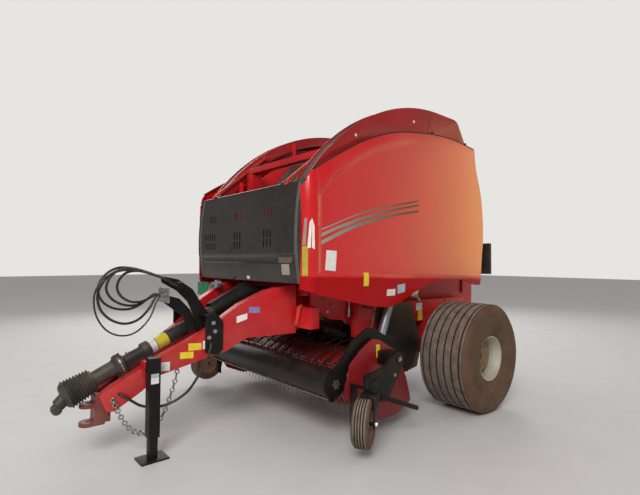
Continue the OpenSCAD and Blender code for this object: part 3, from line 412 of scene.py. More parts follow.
def block(low, high, bevel=0.0, segments=2):
    bm = bmesh.new()
    bmesh.ops.create_cube(bm, size=1)
    for v in bm.verts:
        v.co = [low[i] + (v.co[i] + 0.5) * (high[i] - low[i]) for i in range(3)]
    if bevel:
        soften(bm, bevel, segments=segments)
    return bm


def frame_at(origin, axis):
    """A matrix whose Z axis is the given axis at the origin."""
    z = Vector(axis).normalized()
    side = Vector((0, 1, 0) if abs(z.z) > 0.98 else (0, 0, 1))
    x = side.cross(z).normalized()
    y = z.cross(x)
    turn = Matrix((x, y, z)).transposed().to_4x4()
    return Matrix.Translation(origin) @ turn


def revolve(profile, origin, axis, steps=48, closed=False):
    """Turns (distance along the axis, radius) points round the axis."""
    bm = bmesh.new()
    rings = []
    for along, radius in profile:
        if radius < 1e-6:
            rings.append([bm.verts.new((0, 0, along))])
        else:
            turns = [2 * pi * k / steps for k in range(steps)]
            rings.append([bm.verts.new((radius * cos(a), radius * sin(a), along)) for a in turns])
    pairs = list(zip(rings, rings[1:])) + ([(rings[-1], rings[0])] if closed else [])
    for a, b in pairs:
        for k in range(steps):
            j = (k + 1) % steps
            corners = list(dict.fromkeys([a[k % len(a)], a[j % len(a)], b[j % len(b)], b[k % len(b)]]))
            if len(corners) > 2:
                bm.faces.new(corners)
    bmesh.ops.recalc_face_normals(bm, faces=bm.faces)
    bm.transform(frame_at(origin, axis))
    return bm


def bar(a, b, radius, steps=20, chamfer=0.0):
    """A round bar from a to b with chamfered ends."""
    a, b = Vector(a), Vector(b)
    length = (b - a).length
    c = min(chamfer or radius * 0.12, length * 0.4)
    start, end = [(0, 0), (0, radius - c)], [(length, radius - c), (length, 0)]
    return revolve(start + [(c, radius), (length - c, radius)] + end, a, b - a, steps)


def catmull_rom(points, steps):
    """A smooth curve through points, with a number of steps between two of them."""
    out = []
    for i in range(len(points) - 1):
        a, b, c, d = [points[k] for k in (max(i - 1, 0), i, i + 1, min(i + 2, len(points) - 1))]
        for t in (s / steps for s in range(steps)):
            out.append(0.5 * (2 * b + (c - a) * t + (2 * a - 5 * b + 4 * c - d) * t ** 2
                              + (3 * b - a - 3 * c + d) * t ** 3))
    return out + [points[-1]]


def sweep_curve(points):
    """The smooth curve through (y, z) points."""
    return [tuple(p) for p in catmull_rom([Vector(p) for p in points], 8)[:-1]] + [points[-1]]


def smooth_route(points, steps=6):
    """The smooth curve through points of a table in millimetres, in metres."""
    return catmull_rom([Vector(mm(*p)) for p in points], steps)


def tube(points, radius, sides=16):
    """A round tube along points, with no twist from ring to ring."""
    bm = bmesh.new()
    rings, side = [], None
    last = len(points) - 1
    for i, point in enumerate(points):
        ahead = (points[min(i + 1, last)] - points[max(i - 1, 0)]).normalized()
        if side is None:
            side = ahead.orthogonal().normalized()
        side = (side - ahead * side.dot(ahead)).normalized()
        up = ahead.cross(side)
        turns = [2 * pi * k / sides for k in range(sides)]
        rings.append([bm.verts.new(point + radius * (cos(a) * side + sin(a) * up)) for a in turns])
    for a, b in zip(rings, rings[1:]):
        for k in range(sides):
            j = (k + 1) % sides
            bm.faces.new([a[k], a[j], b[j], b[k]])
    bm.faces.new(rings[0][::-1])
    bm.faces.new(rings[-1])
    bmesh.ops.recalc_face_normals(bm, faces=bm.faces)
    return bm


# Cords: the hydraulic hoses that are parked on the hose holder, and the brake line. Tables in millimetres.
HOSE_ROUTES = {
    "a": [(214, -1640, 1256), (214, -1740, 1318), (214, -1850, 1362), (212, -1960, 1392), (208, -2060, 1392),
          (204, -2140, 1340), (200, -2180, 1250), (196, -2150, 1160), (186, -2070, 1105), (172, -1970, 1090),
          (160, -1890, 1110), (154, -1830, 1150), (152, -1780, 1186), (152, -1760, 1190)],
    "b": [(236, -1640, 1256), (236, -1740, 1316), (238, -1850, 1360), (238, -1960, 1386), (238, -2050, 1378),
          (236, -2110, 1330), (234, -2135, 1250), (230, -2100, 1180), (222, -2030, 1135), (206, -1950, 1118),
          (190, -1880, 1130), (180, -1825, 1160), (178, -1780, 1187), (178, -1760, 1190)],
    "c": [(258, -1640, 1256), (260, -1740, 1314), (262, -1850, 1356), (264, -1940, 1372), (264, -2010, 1360),
          (262, -2055, 1315), (258, -2070, 1255), (252, -2045, 1198), (244, -1990, 1158), (230, -1930, 1144),
          (216, -1870, 1150), (206, -1820, 1170), (204, -1780, 1188), (204, -1760, 1190)],
    "d": [(280, -1640, 1256), (282, -1740, 1310), (286, -1850, 1350), (292, -1950, 1380), (298, -2060, 1382),
          (304, -2150, 1330), (306, -2205, 1230), (300, -2190, 1120), (290, -2120, 1040), (276, -2020, 1000),
          (258, -1920, 1020), (242, -1840, 1090), (232, -1790, 1170), (230, -1760, 1190)],
    "e": [(302, -1640, 1256), (304, -1740, 1308), (310, -1850, 1346), (318, -1960, 1374), (328, -2080, 1372),
          (336, -2180, 1320), (340, -2235, 1220), (336, -2225, 1090), (326, -2160, 980), (312, -2060, 925),
          (296, -1950, 935), (278, -1850, 1020), (262, -1792, 1140), (256, -1760, 1190)],
}
BRAKE_ROUTE = [(329, -1384, 800), (352, -1391, 798), (368, -1400, 770), (368, -1425, 700), (352, -1470, 600),
               (325, -1520, 500), (286, -1560, 430), (248, -1640, 372), (216, -1720, 346), (196, -1800, 350),
               (180, -1870, 372), (168, -1925, 412), (156, -1965, 442), (142, -1992, 460), (120, -2006, 470)]


def cord_piece(name, route, radius, node):
    points = smooth_route(route)
    obj = piece(name, tube(points, radius), HOSE, "chassis", (node,))


for letter, route in HOSE_ROUTES.items():
    cord_piece("hydraulic_hose_" + letter, route, 0.006 if letter == "e" else 0.009, "hose_" + letter)
cord_piece("brake_hose", BRAKE_ROUTE, 0.010, "brake_line")


# Fasteners: hexagon screws with washers, set on points by a node tree.
def new_tree(name, rows):
    """A geometry tree with its inputs (label, kind, value) and its group input."""
    tree = bpy.data.node_groups.new(name, "GeometryNodeTree")
    face = tree.interface
    face.new_socket("Geometry", in_out="INPUT", socket_type="NodeSocketGeometry")
    for label, kind, value in rows:
        face.new_socket(label, in_out="INPUT", socket_type="NodeSocket" + kind).default_value = value
    face.new_socket("Material", in_out="INPUT", socket_type="NodeSocketMaterial")
    face.new_socket("Geometry", in_out="OUTPUT", socket_type="NodeSocketGeometry")
    return tree, add(tree, "NodeGroupInput")


def vector_of(tree, axis, value):
    return add(tree, "ShaderNodeCombineXYZ", links={axis: value}).outputs[0]


def join(tree, *parts):
    joined = add(tree, "GeometryNodeJoinGeometry")
    for part in parts:
        tree.links.new(part.outputs[0], joined.inputs[0])
    return joined.outputs[0]


def finished_tree(tree, placed, given):
    """Realizes the instances, paints them and links the output."""
    real = add(tree, "GeometryNodeRealizeInstances", links={0: placed.outputs[0]})
    painted = add(tree, "GeometryNodeSetMaterial",
                  links={0: real.outputs[0], "Material": given.outputs["Material"]})
    add(tree, "NodeGroupOutput", links={0: painted.outputs[0]})
    return tree


def fastener_tree():
    tree, given = new_tree("hexagon_screws", [
        ("Head radius", "Float", 0.011), ("Head height", "Float", 0.008),
        ("Washer radius", "Float", 0.016), ("Washer height", "Float", 0.0025)])
    washer = add(tree, "GeometryNodeMeshCylinder", {"Vertices": 16},
                 {"Radius": given.outputs["Washer radius"], "Depth": given.outputs["Washer height"]})
    head = add(tree, "GeometryNodeMeshCylinder", {"Vertices": 6},
               {"Radius": given.outputs["Head radius"], "Depth": given.outputs["Head height"]})
    rise = vector_of(tree, 2, maths(tree, "MULTIPLY", given.outputs["Head height"], 0.5))
    raised = add(tree, "GeometryNodeTransform", links={"Geometry": head.outputs[0], "Translation": rise})
    stud = add(tree, "GeometryNodeMeshCylinder", {"Vertices": 10, "Radius": 0.0055},
               {"Depth": given.outputs["Head height"]})
    tip_rise = vector_of(tree, 2, given.outputs["Head height"])
    tip = add(tree, "GeometryNodeTransform", links={"Geometry": stud.outputs[0], "Translation": tip_rise})
    joined = join(tree, washer, raised, tip)
    facing = add(tree, "GeometryNodeInputNamedAttribute", {"data_type": "FLOAT_VECTOR", "Name": "facing"})
    turn = add(tree, "FunctionNodeAlignRotationToVector", {"axis": "Z"}, {"Vector": facing.outputs[0]})
    size = add(tree, "GeometryNodeInputNamedAttribute", {"data_type": "FLOAT", "Name": "size"})
    points = add(tree, "GeometryNodeMeshToPoints", links={0: given.outputs[0]})
    placed = add(tree, "GeometryNodeInstanceOnPoints", links={
        "Points": points.outputs[0], "Instance": joined,
        "Rotation": turn.outputs[0], "Scale": size.outputs[0]})
    return finished_tree(tree, placed, given)


SCREWS = fastener_tree()


def run_tree(name, tree, body, material, points=None, shift=(0, 0, 0), sharp=50, stands_for=()):
    """Runs a tree on a mesh of points, or on an empty one, and keeps the result as a plain mesh."""
    carrier = link(bpy.data.objects.new(name + "_carrier", points or bpy.data.meshes.new(name + "_carrier")))
    modifier = carrier.modifiers.new("tree", "NODES")
    modifier.node_group = tree
    for item in tree.interface.items_tree:
        if item.in_out == "INPUT" and item.name == "Material":
            modifier[item.identifier] = material
    bpy.context.view_layer.update()
    result = bpy.data.meshes.new_from_object(carrier.evaluated_get(bpy.context.evaluated_depsgraph_get()))
    bpy.data.objects.remove(carrier)
    result.name = name
    result.transform(Matrix.Translation(shift))
    shape_up(result, sharp)
    obj = link(bpy.data.objects.new(name, result))
    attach(obj, body)
    if stands_for:
        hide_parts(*stands_for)
    return obj


def set_screws(name, rows, body):
    """Sets zinc-plated screws on rows of (point, facing, size)."""
    mesh = bpy.data.meshes.new(name + "_points")
    mesh.from_pydata([row[0] for row in rows], [], [])
    mesh.attributes.new("facing", "FLOAT_VECTOR", "POINT")
    mesh.attributes.new("size", "FLOAT", "POINT")
    # Both are fetched by name after both are made, because the second one moves the first one's data.
    facing, size = mesh.attributes["facing"], mesh.attributes["size"]
    for i, row in enumerate(rows):
        facing.data[i].vector, size.data[i].value = row[1], row[2]
    run_tree(name, SCREWS, body, ZINC, mesh, sharp=32)


def on_both(rows):
    """The same rows on both sides of the machine."""
    mirrored = [((-p[0], p[1], p[2]), (-n[0], n[1], n[2]), s) for p, n, s in rows]
    return rows + mirrored


# Side shields: a pressed shell with a raised front rim, a crease near its upper edge and a tucked lower band.
PLAN_R, PLAN_C = 14.766, (-13.787, 0.118)
CORNER_C, CORNER_R = (0.835, -0.800), 0.120
FRONT_Y = -0.9090
HINGE_X = 0.83
SHIELD_BOTTOM = [(-909, 1228), (-770, 1184), (-476, 1120), (-170, 1060), (40, 1040), (132, 1052), (233, 1083),
                 (338, 1123), (392, 1149), (515, 1184), (588, 1211), (760, 1247), (900, 1260), (1050, 1264),
                 (1250, 1256), (1400, 1236), (1580, 1194), (1750, 1178), (1785, 1200)]
SHIELD_TOP = [(-909, 2041), (-891, 2064), (-840, 2165), (-702, 2252), (-480, 2382), (-258, 2498), (0, 2600),
              (240, 2664), (520, 2714), (810, 2752), (1200, 2772), (1680, 2760)]
SHIELD_BACK = [(1785, 1200), (1801, 1317), (1833, 1530), (1860, 1640), (1875, 1761), (1880, 1850),
               (1876, 1932), (1855, 2144), (1806, 2321), (1746, 2452), (1712, 2560), (1696, 2668),
               (1694, 2740), (1680, 2760)]


def along(points, t):
    """The point at share t of a polyline's length."""
    spans = [sqrt((b[0] - a[0]) ** 2 + (b[1] - a[1]) ** 2) for a, b in zip(points, points[1:])]
    left = t * sum(spans)
    for (a, b), span in zip(zip(points, points[1:]), spans):
        if left <= span or b is points[-1]:
            s = min(left / span, 1)
            return (a[0] + (b[0] - a[0]) * s, a[1] + (b[1] - a[1]) * s)
        left -= span


def at_y(points, y):
    """Height of a polyline at y."""
    for a, b in zip(points, points[1:]):
        if a[0] <= y <= b[0]:
            return a[1] + (b[1] - a[1]) * (y - a[0]) / (b[0] - a[0])
    return points[0][1] if y < points[0][0] else points[-1][1]


def plan_x(y):
    """Outer x of the shield in plan: a slow curve with a round front corner."""
    if y < CORNER_C[1]:
        return CORNER_C[0] + sqrt(max(CORNER_R ** 2 - (y - CORNER_C[1]) ** 2, 0))
    return PLAN_C[0] + sqrt(PLAN_R ** 2 - (y - PLAN_C[1]) ** 2)


def step(value, low, high):
    t = min(max((value - low) / (high - low), 0), 1)
    return t * t * (3 - 2 * t)


def crease_z(y):
    """Height of the crease under the shield's upper edge."""
    return at_y([(-0.92, 1.86), (-0.76, 2.00), (-0.70, 2.072), (-0.648, 2.13), (-0.542, 2.205),
                 (-0.364, 2.324), (-0.171, 2.435), (0.042, 2.518), (0.279, 2.595), (0.6, 2.655), (1.0, 2.70),
                 (1.9, 2.72)], y)


def fold_z(y):
    """Height of the fold above the tucked lower band."""
    return at_y([(-0.92, 1.357), (-0.751, 1.351), (-0.396, 1.331), (-0.09, 1.313), (0.259, 1.292),
                 (0.62, 1.280), (0.845, 1.280), (1.2, 1.284), (1.54, 1.266), (1.733, 1.246), (1.9, 1.24)], y)


def relief_in(y, z):
    """How far the shield's face lies inside its plan curve, from its pressed forms."""
    above = z - crease_z(y)
    below = fold_z(y) - z
    # Above the crease the sheet leans in, and below the fold it tucks in, each with a rounded start.
    inward = 0.0
    if above > 0:
        inward += 0.10 * above * above / (0.12 + above)
    if below > 0:
        inward += 0.13 * below * below / (0.10 + below) + 0.02 * below
    # The sunk field's upper slope widens and dies out towards the back.
    slope = 0.018 + 0.034 * step(y, -0.7, 0.1)
    upper = 1 - (1 - step(y, 0.1, 0.5)) * (1 - step(above, 0.002, -slope))
    lower = 1 - (1 - step(y, -0.3, 0.5)) * (1 - step(below, 0.0, -0.012))
    inset = 0.008 * step(y, -0.792, -0.768) * min(upper, lower)
    lean = 0.020 * max(-below / 1.3, 0) ** 2
    return inward + inset + lean * step(y, -0.80, -0.3)


def shield_x(y, z):
    return plan_x(y) - relief_in(y, z)


def shield_mesh(side):
    columns, rows = 150, 96
    bottom, top, back = [sweep_curve([mm(*p) for p in line])
                         for line in (SHIELD_BOTTOM, SHIELD_TOP, SHIELD_BACK)]
    front = [bottom[0], top[0]]
    bm = bmesh.new()
    grid = []
    # Columns are closer together at the round front corner: their number there, its share and the rest.
    count, share, rest = 26, 0.055, 0.945
    shares = [share * (i / count) for i in range(count)]
    shares += [share + rest * i / (columns - count) for i in range(columns - count + 1)]
    ends = [(along(front, j / rows), along(back, j / rows)) for j in range(rows + 1)]
    for u in shares:
        column = []
        b, t = along(bottom, u), along(top, u)
        for j, (f, k) in enumerate(ends):
            v = j / rows
            corner = [(1 - u) * (1 - v) * bottom[0][i] + u * (1 - v) * bottom[-1][i]
                      + (1 - u) * v * top[0][i] + u * v * top[-1][i] for i in (0, 1)]
            y, z = [(1 - v) * b[i] + v * t[i] + (1 - u) * f[i] + u * k[i] - corner[i] for i in (0, 1)]
            y = max(y, FRONT_Y)
            column.append(bm.verts.new((shield_x(y, z), y, z)))
        grid.append(column)
    for a, b in zip(grid, grid[1:]):
        for j in range(rows):
            bm.faces.new([a[j], b[j], b[j + 1], a[j + 1]])
    # The rim is turned inwards in two steps.
    rim = [e for e in bm.edges if len(e.link_faces) == 1]
    for inward in (0.006, 0.015):
        turned = bmesh.ops.extrude_edge_only(bm, edges=rim)
        pull(bm, turned, (-inward, 0, 0))
        rim = [e for e in turned["geom"] if isinstance(e, bmesh.types.BMEdge) and len(e.link_faces) == 1]
    bmesh.ops.recalc_face_normals(bm, faces=bm.faces)
    probe = max(bm.faces, key=lambda f: f.calc_center_median().x)
    if probe.normal.x < 0:
        bmesh.ops.reverse_faces(bm, faces=bm.faces)
    # The sheet's own thickness, inwards.
    bmesh.ops.solidify(bm, geom=bm.faces[:], thickness=0.003)
    if side < 0:
        mirror(bm)
    return bm


def ribbon(upper, lower, side, proud=0.0009, steps=60):
    """A thin film on the shield between two curves of (y, z)."""
    bm = bmesh.new()
    rows = []
    for i in range(steps + 1):
        t = i / steps
        a, b = along(lower, t), along(upper, t)
        across = [(a[0] + (b[0] - a[0]) * s, a[1] + (b[1] - a[1]) * s) for s in (0, 0.33, 0.67, 1)]
        rows.append([bm.verts.new((side * (shield_x(y, z) + proud), y, z)) for y, z in across])
    for a, b in zip(rows, rows[1:]):
        for j in range(3):
            bm.faces.new([a[j], b[j], b[j + 1], a[j + 1]])
    face_way(bm, (side, 0, 0))
    return bm


def film(corners, side):
    """A blank plate over four corners (y, z): lower front, lower back, upper back, upper front."""
    a, b, c, d = corners
    return ribbon([d, c], [a, b], side, 0.0010, 10)


# Stripe edges on the shield, (y, z): three bands that sweep up and run out before the middle.
STRIPE_YS = (-0.762, -0.621, -0.474, -0.320, -0.155, 0.010, 0.179, 0.474)
# columns: name, lower heights, upper heights
STRIPES = [
    ("lower", (1.579, 1.640, 1.700, 1.753, 1.799, 1.839, 1.876, 1.927),
     (1.610, 1.673, 1.733, 1.783, 1.826, 1.861, 1.895, 1.947)),
    ("middle", (1.639, 1.699, 1.747, 1.800, 1.847, 1.888, 1.927, 1.987),
     (1.668, 1.725, 1.774, 1.826, 1.870, 1.908, 1.945, 2.004)),
    ("upper", (1.692, 1.745, 1.802, 1.853, 1.900, 1.936, 1.969, 2.030),
     (1.705, 1.757, 1.814, 1.865, 1.912, 1.947, 1.984, 2.044)),
]
# columns: name, finish, corners (y, z): lower front, lower back, upper back, upper front
SHIELD_PLATES = [
    ("large_white", WHITE_VINYL, [(-0.722, 1.380), (-0.615, 1.369), (-0.603, 1.532), (-0.710, 1.537)]),
    ("yellow", YELLOW_VINYL, [(-0.304, 1.239), (-0.243, 1.239), (-0.243, 1.353), (-0.304, 1.353)]),
    ("small_white", WHITE_VINYL, [(0.003, 1.141), (0.119, 1.141), (0.119, 1.1995), (0.003, 1.1995)]),
    ("blue", BLUE_VINYL, [(0.157, 1.153), (0.262, 1.167), (0.255, 1.246), (0.141, 1.235)]),
    ("reflector", OLIVE_VINYL, [(-0.908, 1.335), (-0.880, 1.335), (-0.880, 1.566), (-0.908, 1.566)]),
    ("grey_slash", GREY_VINYL, [(-0.908, 1.575), (-0.893, 1.575), (-0.886, 1.782), (-0.899, 1.782)]),
    ("front_slash", WHITE_VINYL, [(-0.884, 1.550), (-0.863, 1.552), (-0.855, 1.782), (-0.871, 1.751)]),
    ("back_slash", WHITE_VINYL, [(-0.855, 1.554), (-0.833, 1.540), (-0.836, 1.721), (-0.855, 1.782)]),
]


def build_shields():
    for word, side in SIDES.items():
        body, node = "side_shield_" + word, "shield_" + word
        piece(node + "_shell", shield_mesh(side), SHIELD_ENAMEL, body, (node,), 24)
        for label, lows, highs in STRIPES:
            lower, upper = [sweep_curve(list(zip(STRIPE_YS, heights))) for heights in (lows, highs)]
            piece("stripe_%s_%s" % (label, word), ribbon(upper, lower, side), STRIPE_VINYL, body)
        for label, material, corners in SHIELD_PLATES:
            piece("shield_%s_%s" % (label, word), film(corners, side), material, body)
        # A dark tube on the upper edge, painted shade in the gap where the shield closes on the crescent
        # plate.
        upper = sweep_curve([mm(*p) for p in SHIELD_TOP[2:]])
        edge = [Vector((side * (shield_x(y, z) - 0.004), y, z + 0.002)) for y, z in upper]
        piece("shield_edge_seal_" + word, tube(edge, 0.0075, 8), SEAL_AND_GAP_SHADE, body, (), 50)
        # Latch: its rod and the plate behind the lower edge.
        latch = bar((side * 0.900, 0.434, 1.174), (side * 0.900, 0.578, 1.059), 0.009, 12)
        plate_x = sorted((side * 0.902, side * 0.936))
        merge(latch, prism([(0.395, 1.150), (0.510, 1.170), (0.482, 1.098), (0.405, 1.111)], *plate_x, 0.004))
        piece("shield_latch_" + word, latch, ZINC, body)
        # Hinge arms: an eye beside the crescent plate's lug and a leg down to the shield's inner face.
        hinge = bmesh.new()
        for y0, y1, y in ((0.822, 0.842, 0.800), (1.462, 1.482, 1.440)):
            merge(hinge, block((0.830, y0, 2.771), (0.878, y1, 2.799), 0.003))
            merge(hinge, bar((HINGE_X, y0, 2.785), (HINGE_X, y1, 2.785), 0.014))
            merge(hinge, block((0.858, y0, 2.62), (shield_x(y, 2.70) - 0.006, y1, 2.742), 0.003))
            merge(hinge, block((0.858, y0, 2.70), (0.878, y1, 2.799), 0.003))
        if side < 0:
            mirror(hinge)
        piece("shield_hinges_" + word, hinge, SHADED_CRESCENT_ENAMEL, body)


build_shields()


# Road wheels
WHEEL_AT = (1.175, 1.020, 0.520)
TREAD_CENTRES, TREAD_EDGE = (-0.190, -0.114, -0.038, 0.038, 0.114, 0.190), 0.222
# Half profile of the road tyre from bead to shoulder: distance from the middle, radius.
TYRE_WALL = [(0.212, 0.207), (0.228, 0.214), (0.236, 0.232), (0.242, 0.236), (0.246, 0.250), (0.256, 0.290),
             (0.2585, 0.294), (0.2625, 0.300), (0.267, 0.335), (0.2695, 0.365), (0.2695, 0.385),
             (0.267, 0.412), (0.262, 0.436), (0.2625, 0.442), (0.259, 0.456), (0.252, 0.474), (0.243, 0.489),
             (0.232, 0.500), (0.222, 0.5065)]


def crown(x):
    """Radius of the tread at a distance from the tyre's middle."""
    return 0.5198 - 0.16 * abs(x) ** 2.6


def road_tyre(side):
    """Tyre with six wavy grooves between ribs whose edges are cut by short sipes."""
    steps, groove, depth = 288, 0.0065, 0.015
    waves, sway, sipe_gap, sipe_depth = 60, 0.0013, 4, 0.0045
    # columns: distance, depth, whether it sways with the groove, whether it is a rib's edge
    tread = [(-TREAD_EDGE, 0, 0, 0)]
    for c in TREAD_CENTRES:
        tread += [(c - groove - 0.010, 0, 0, 0), (c - groove - 0.001, 0, 1, 1),
                  (c - groove + 0.002, depth, 1, 0), (c, depth, 1, 0),
                  (c + groove - 0.002, depth, 1, 0), (c + groove + 0.001, 0, 1, 1),
                  (c + groove + 0.010, 0, 0, 0)]
        if c < TREAD_CENTRES[-1]:
            tread += [(c + 0.038, 0, 0, 0)]
    tread += [(TREAD_EDGE, 0, 0, 0)]
    walls = len(TYRE_WALL) - 1
    ribs = [GROOVE if p[1] or q[1] else RIB for p, q in zip(tread, tread[1:])]
    skins = [WALL] * (walls + 1) + ribs + [WALL] * (walls + 1)
    bm = bmesh.new()
    rows = []
    for k in range(steps):
        a = 2 * pi * k / steps
        wave = sway * sin(a * waves)
        column = [(-x, r) for x, r in TYRE_WALL]
        for x, down, sways, edge in tread:
            notch = sipe_depth if edge and k % sipe_gap == 0 else 0
            column.append((x + wave * sways, crown(x) - down - notch))
        column += [(x, r) for x, r in reversed(TYRE_WALL)]
        rows.append([bm.verts.new((x, r * sin(a), r * cos(a))) for x, r in column])
    for k in range(steps):
        a, b = rows[k], rows[(k + 1) % steps]
        for j, skin in enumerate(skins):
            bm.faces.new([a[j], a[j + 1], b[j + 1], b[j]]).material_index = skin
        bm.faces.new([a[-1], a[0], b[0], b[-1]])
    bmesh.ops.recalc_face_normals(bm, faces=bm.faces)
    bm.transform(Matrix.Translation((side * WHEEL_AT[0], WHEEL_AT[1], WHEEL_AT[2])))
    return bm


def road_rim(side):
    origin, axis = (side * WHEEL_AT[0], WHEEL_AT[1], WHEEL_AT[2]), (side, 0, 0)
    # columns: distance from the middle, radius
    inside = [(0.228, 0.222), (0.223, 0.203), (0.205, 0.2015), (0.198, 0.1975), (0.186, 0.1965),
              (0.181, 0.1935), (0.160, 0.1925), (0.154, 0.188), (0.128, 0.1865), (0.100, 0.185)]
    flange = [(0.220, 0.212), (0.220, 0.227), (0.222, 0.229), (0.230, 0.229), (0.2315, 0.227)]
    mirrored = [(-x, r) for x, r in reversed(flange + inside)]
    barrel = flange + inside + mirrored + [(-0.170, 0.209), (0.170, 0.209)]
    rim = revolve(barrel, origin, axis, 96, closed=True)
    disc = revolve([(0.088, 0), (0.090, 0.026), (0.118, 0.026), (0.126, 0.030), (0.130, 0.034),
                    (0.130, 0.050), (0.132, 0.060), (0.126, 0.098), (0.124, 0.110), (0.130, 0.120),
                    (0.124, 0.150), (0.112, 0.176), (0.100, 0.186), (0.092, 0.186), (0.104, 0.172),
                    (0.116, 0.148), (0.120, 0.118), (0.112, 0.100), (0.060, 0.086), (-0.080, 0.086),
                    (-0.080, 0.050), (0.018, 0.050), (0.018, 0)], origin, axis, 72)
    return rim, disc


def build_wheels():
    nut_count, nut_circle = 8, 0.103
    for word, side in SIDES.items():
        body = "wheel_" + word
        piece("road_tyre_" + word, road_tyre(side), TYRE_SKINS, body, ("tyre_" + word,), 40)
        rim, disc = road_rim(side)
        piece("rim_barrel_" + word, rim, RIM_PAINT, body, ("rim_" + word,), 30)
        piece("rim_disc_" + word, disc, DUSTY_DISC, body)
        x, y, z = WHEEL_AT
        # A dark disc in the hub's bore, painted shade in the hole.
        bore = bar((side * (x + 0.086), y, z), (side * (x + 0.0925), y, z), 0.0255, 32)
        piece("hub_bore_shade_" + word, bore, RECESS_SHADE, body)
        nuts = [((side * (x + 0.126), y + nut_circle * cos(a), z + nut_circle * sin(a)), (side, 0, 0), 1.15)
                for a in [2 * pi * k / nut_count for k in range(nut_count)]]
        set_screws("wheel_nuts_" + word, nuts, body)
        stem = bar((side * (x + 0.150), y, z + 0.186), (side * (x + 0.192), y, z + 0.178), 0.004, 10)
        piece("valve_stem_" + word, stem, SEAL_AND_GAP_SHADE, body)


build_wheels()


# Front guard: a smoked panel that curves in side view, with vent slots and a step above its lower band.
GUARD_R, GUARD_MID = 2.400, (1.480, 1.640)
GUARD_X, GUARD_LOW, GUARD_HIGH = 0.872, 1.270, 2.085
# columns: x, z, number of slots
GUARD_SLOTS = [(-0.570, 1.865, 3), (-0.070, 1.867, 3), (0.425, 1.868, 3), (-0.615, 1.682, 5),
               (-0.076, 1.682, 3), (0.420, 1.686, 3), (-0.615, 1.590, 5), (-0.076, 1.595, 3),
               (0.420, 1.600, 3)]
SLOT_PITCH, SLOT_HALF, SLOT_HIGH = 0.050, 0.0095, 0.034


def guard_y(z):
    """Outer face of the guard at a height."""
    face = GUARD_MID[0] - sqrt(GUARD_R ** 2 - (z - GUARD_MID[1]) ** 2)
    band = 0.007 * step(z, 1.500, 1.484)
    bead = 0.005 * (step(z, 1.428, 1.436) - step(z, 1.444, 1.452))
    return face + band - bead


def lines_with(edges, low, high, gap):
    """Grid lines from low to high that hold every given edge and leave no gap wider than asked."""
    marks = sorted({round(e, 5) for e in edges} | {low, high})
    lines = [marks[0]]
    for a, b in zip(marks, marks[1:]):
        n = max(1, int((b - a) / gap + 0.999))
        lines += [a + (b - a) * i / n for i in range(1, n + 1)]
    return lines


def slot_boxes():
    """Low x, high x, low z and high z of every vent slot."""
    middles = [(x + (i - (n - 1) / 2) * SLOT_PITCH, z) for x, z, n in GUARD_SLOTS for i in range(n)]
    return [(x - SLOT_HALF, x + SLOT_HALF, z - SLOT_HIGH, z + SLOT_HIGH) for x, z in middles]


def guard_panel():
    slots = slot_boxes()
    xs = lines_with([s[0] for s in slots] + [s[1] for s in slots], -GUARD_X + 0.004, GUARD_X - 0.004, 0.08)
    creases = [1.420, 1.428, 1.436, 1.444, 1.452, 1.484, 1.492, 1.500]
    zs = lines_with([s[2] for s in slots] + [s[3] for s in slots] + creases, GUARD_LOW, GUARD_HIGH, 0.02)
    bm = bmesh.new()
    # The upper edge rolls back over the arms' feet.
    radius, edge_y = 0.010, guard_y(GUARD_HIGH)
    roll = [(GUARD_HIGH + radius * sin(a), edge_y + radius * (1 - cos(a))) for a in (pi / 6, pi / 3, pi / 2)]
    levels = [(z, guard_y(z)) for z in zs] + roll + [(GUARD_HIGH + radius, edge_y + 0.046)]
    grid = [[bm.verts.new((x, y, z)) for z, y in levels] for x in xs]
    for i in range(len(xs) - 1):
        for j in range(len(levels) - 1):
            middle = (0.5 * (xs[i] + xs[i + 1]), 0.5 * (levels[j][0] + levels[j + 1][0]))
            if not any(s[0] < middle[0] < s[1] and s[2] < middle[1] < s[3] for s in slots):
                bm.faces.new([grid[i][j], grid[i + 1][j], grid[i + 1][j + 1], grid[i][j + 1]])
    bmesh.ops.delete(bm, geom=[v for v in bm.verts if not v.link_faces], context="VERTS")
    face_way(bm, (0, -1, 0))
    bmesh.ops.solidify(bm, geom=bm.faces[:], thickness=0.005)
    return bm


def guard_film(x0, x1, z0, z1, proud=0.0012, steps=8):
    """A film or strip that lies on the guard's face."""
    bm = bmesh.new()
    levels = [z0 + (z1 - z0) * i / steps for i in range(steps + 1)]
    rows = [[bm.verts.new((x, guard_y(z) - proud, z)) for x in (x0, x1)] for z in levels]
    for a, b in zip(rows, rows[1:]):
        bm.faces.new([a[0], a[1], b[1], b[0]])
    face_way(bm, (0, -1, 0))
    bmesh.ops.solidify(bm, geom=bm.faces[:], thickness=proud * 0.8)
    return bm


def guard_seal(x, radius):
    """A rubber bead that follows an upright edge of the guard."""
    length, steps = 0.825, 40
    heights = [GUARD_LOW + length * i / steps for i in range(steps + 1)]
    return tube([Vector((x, guard_y(z) + 0.004, z)) for z in heights], radius, 12)


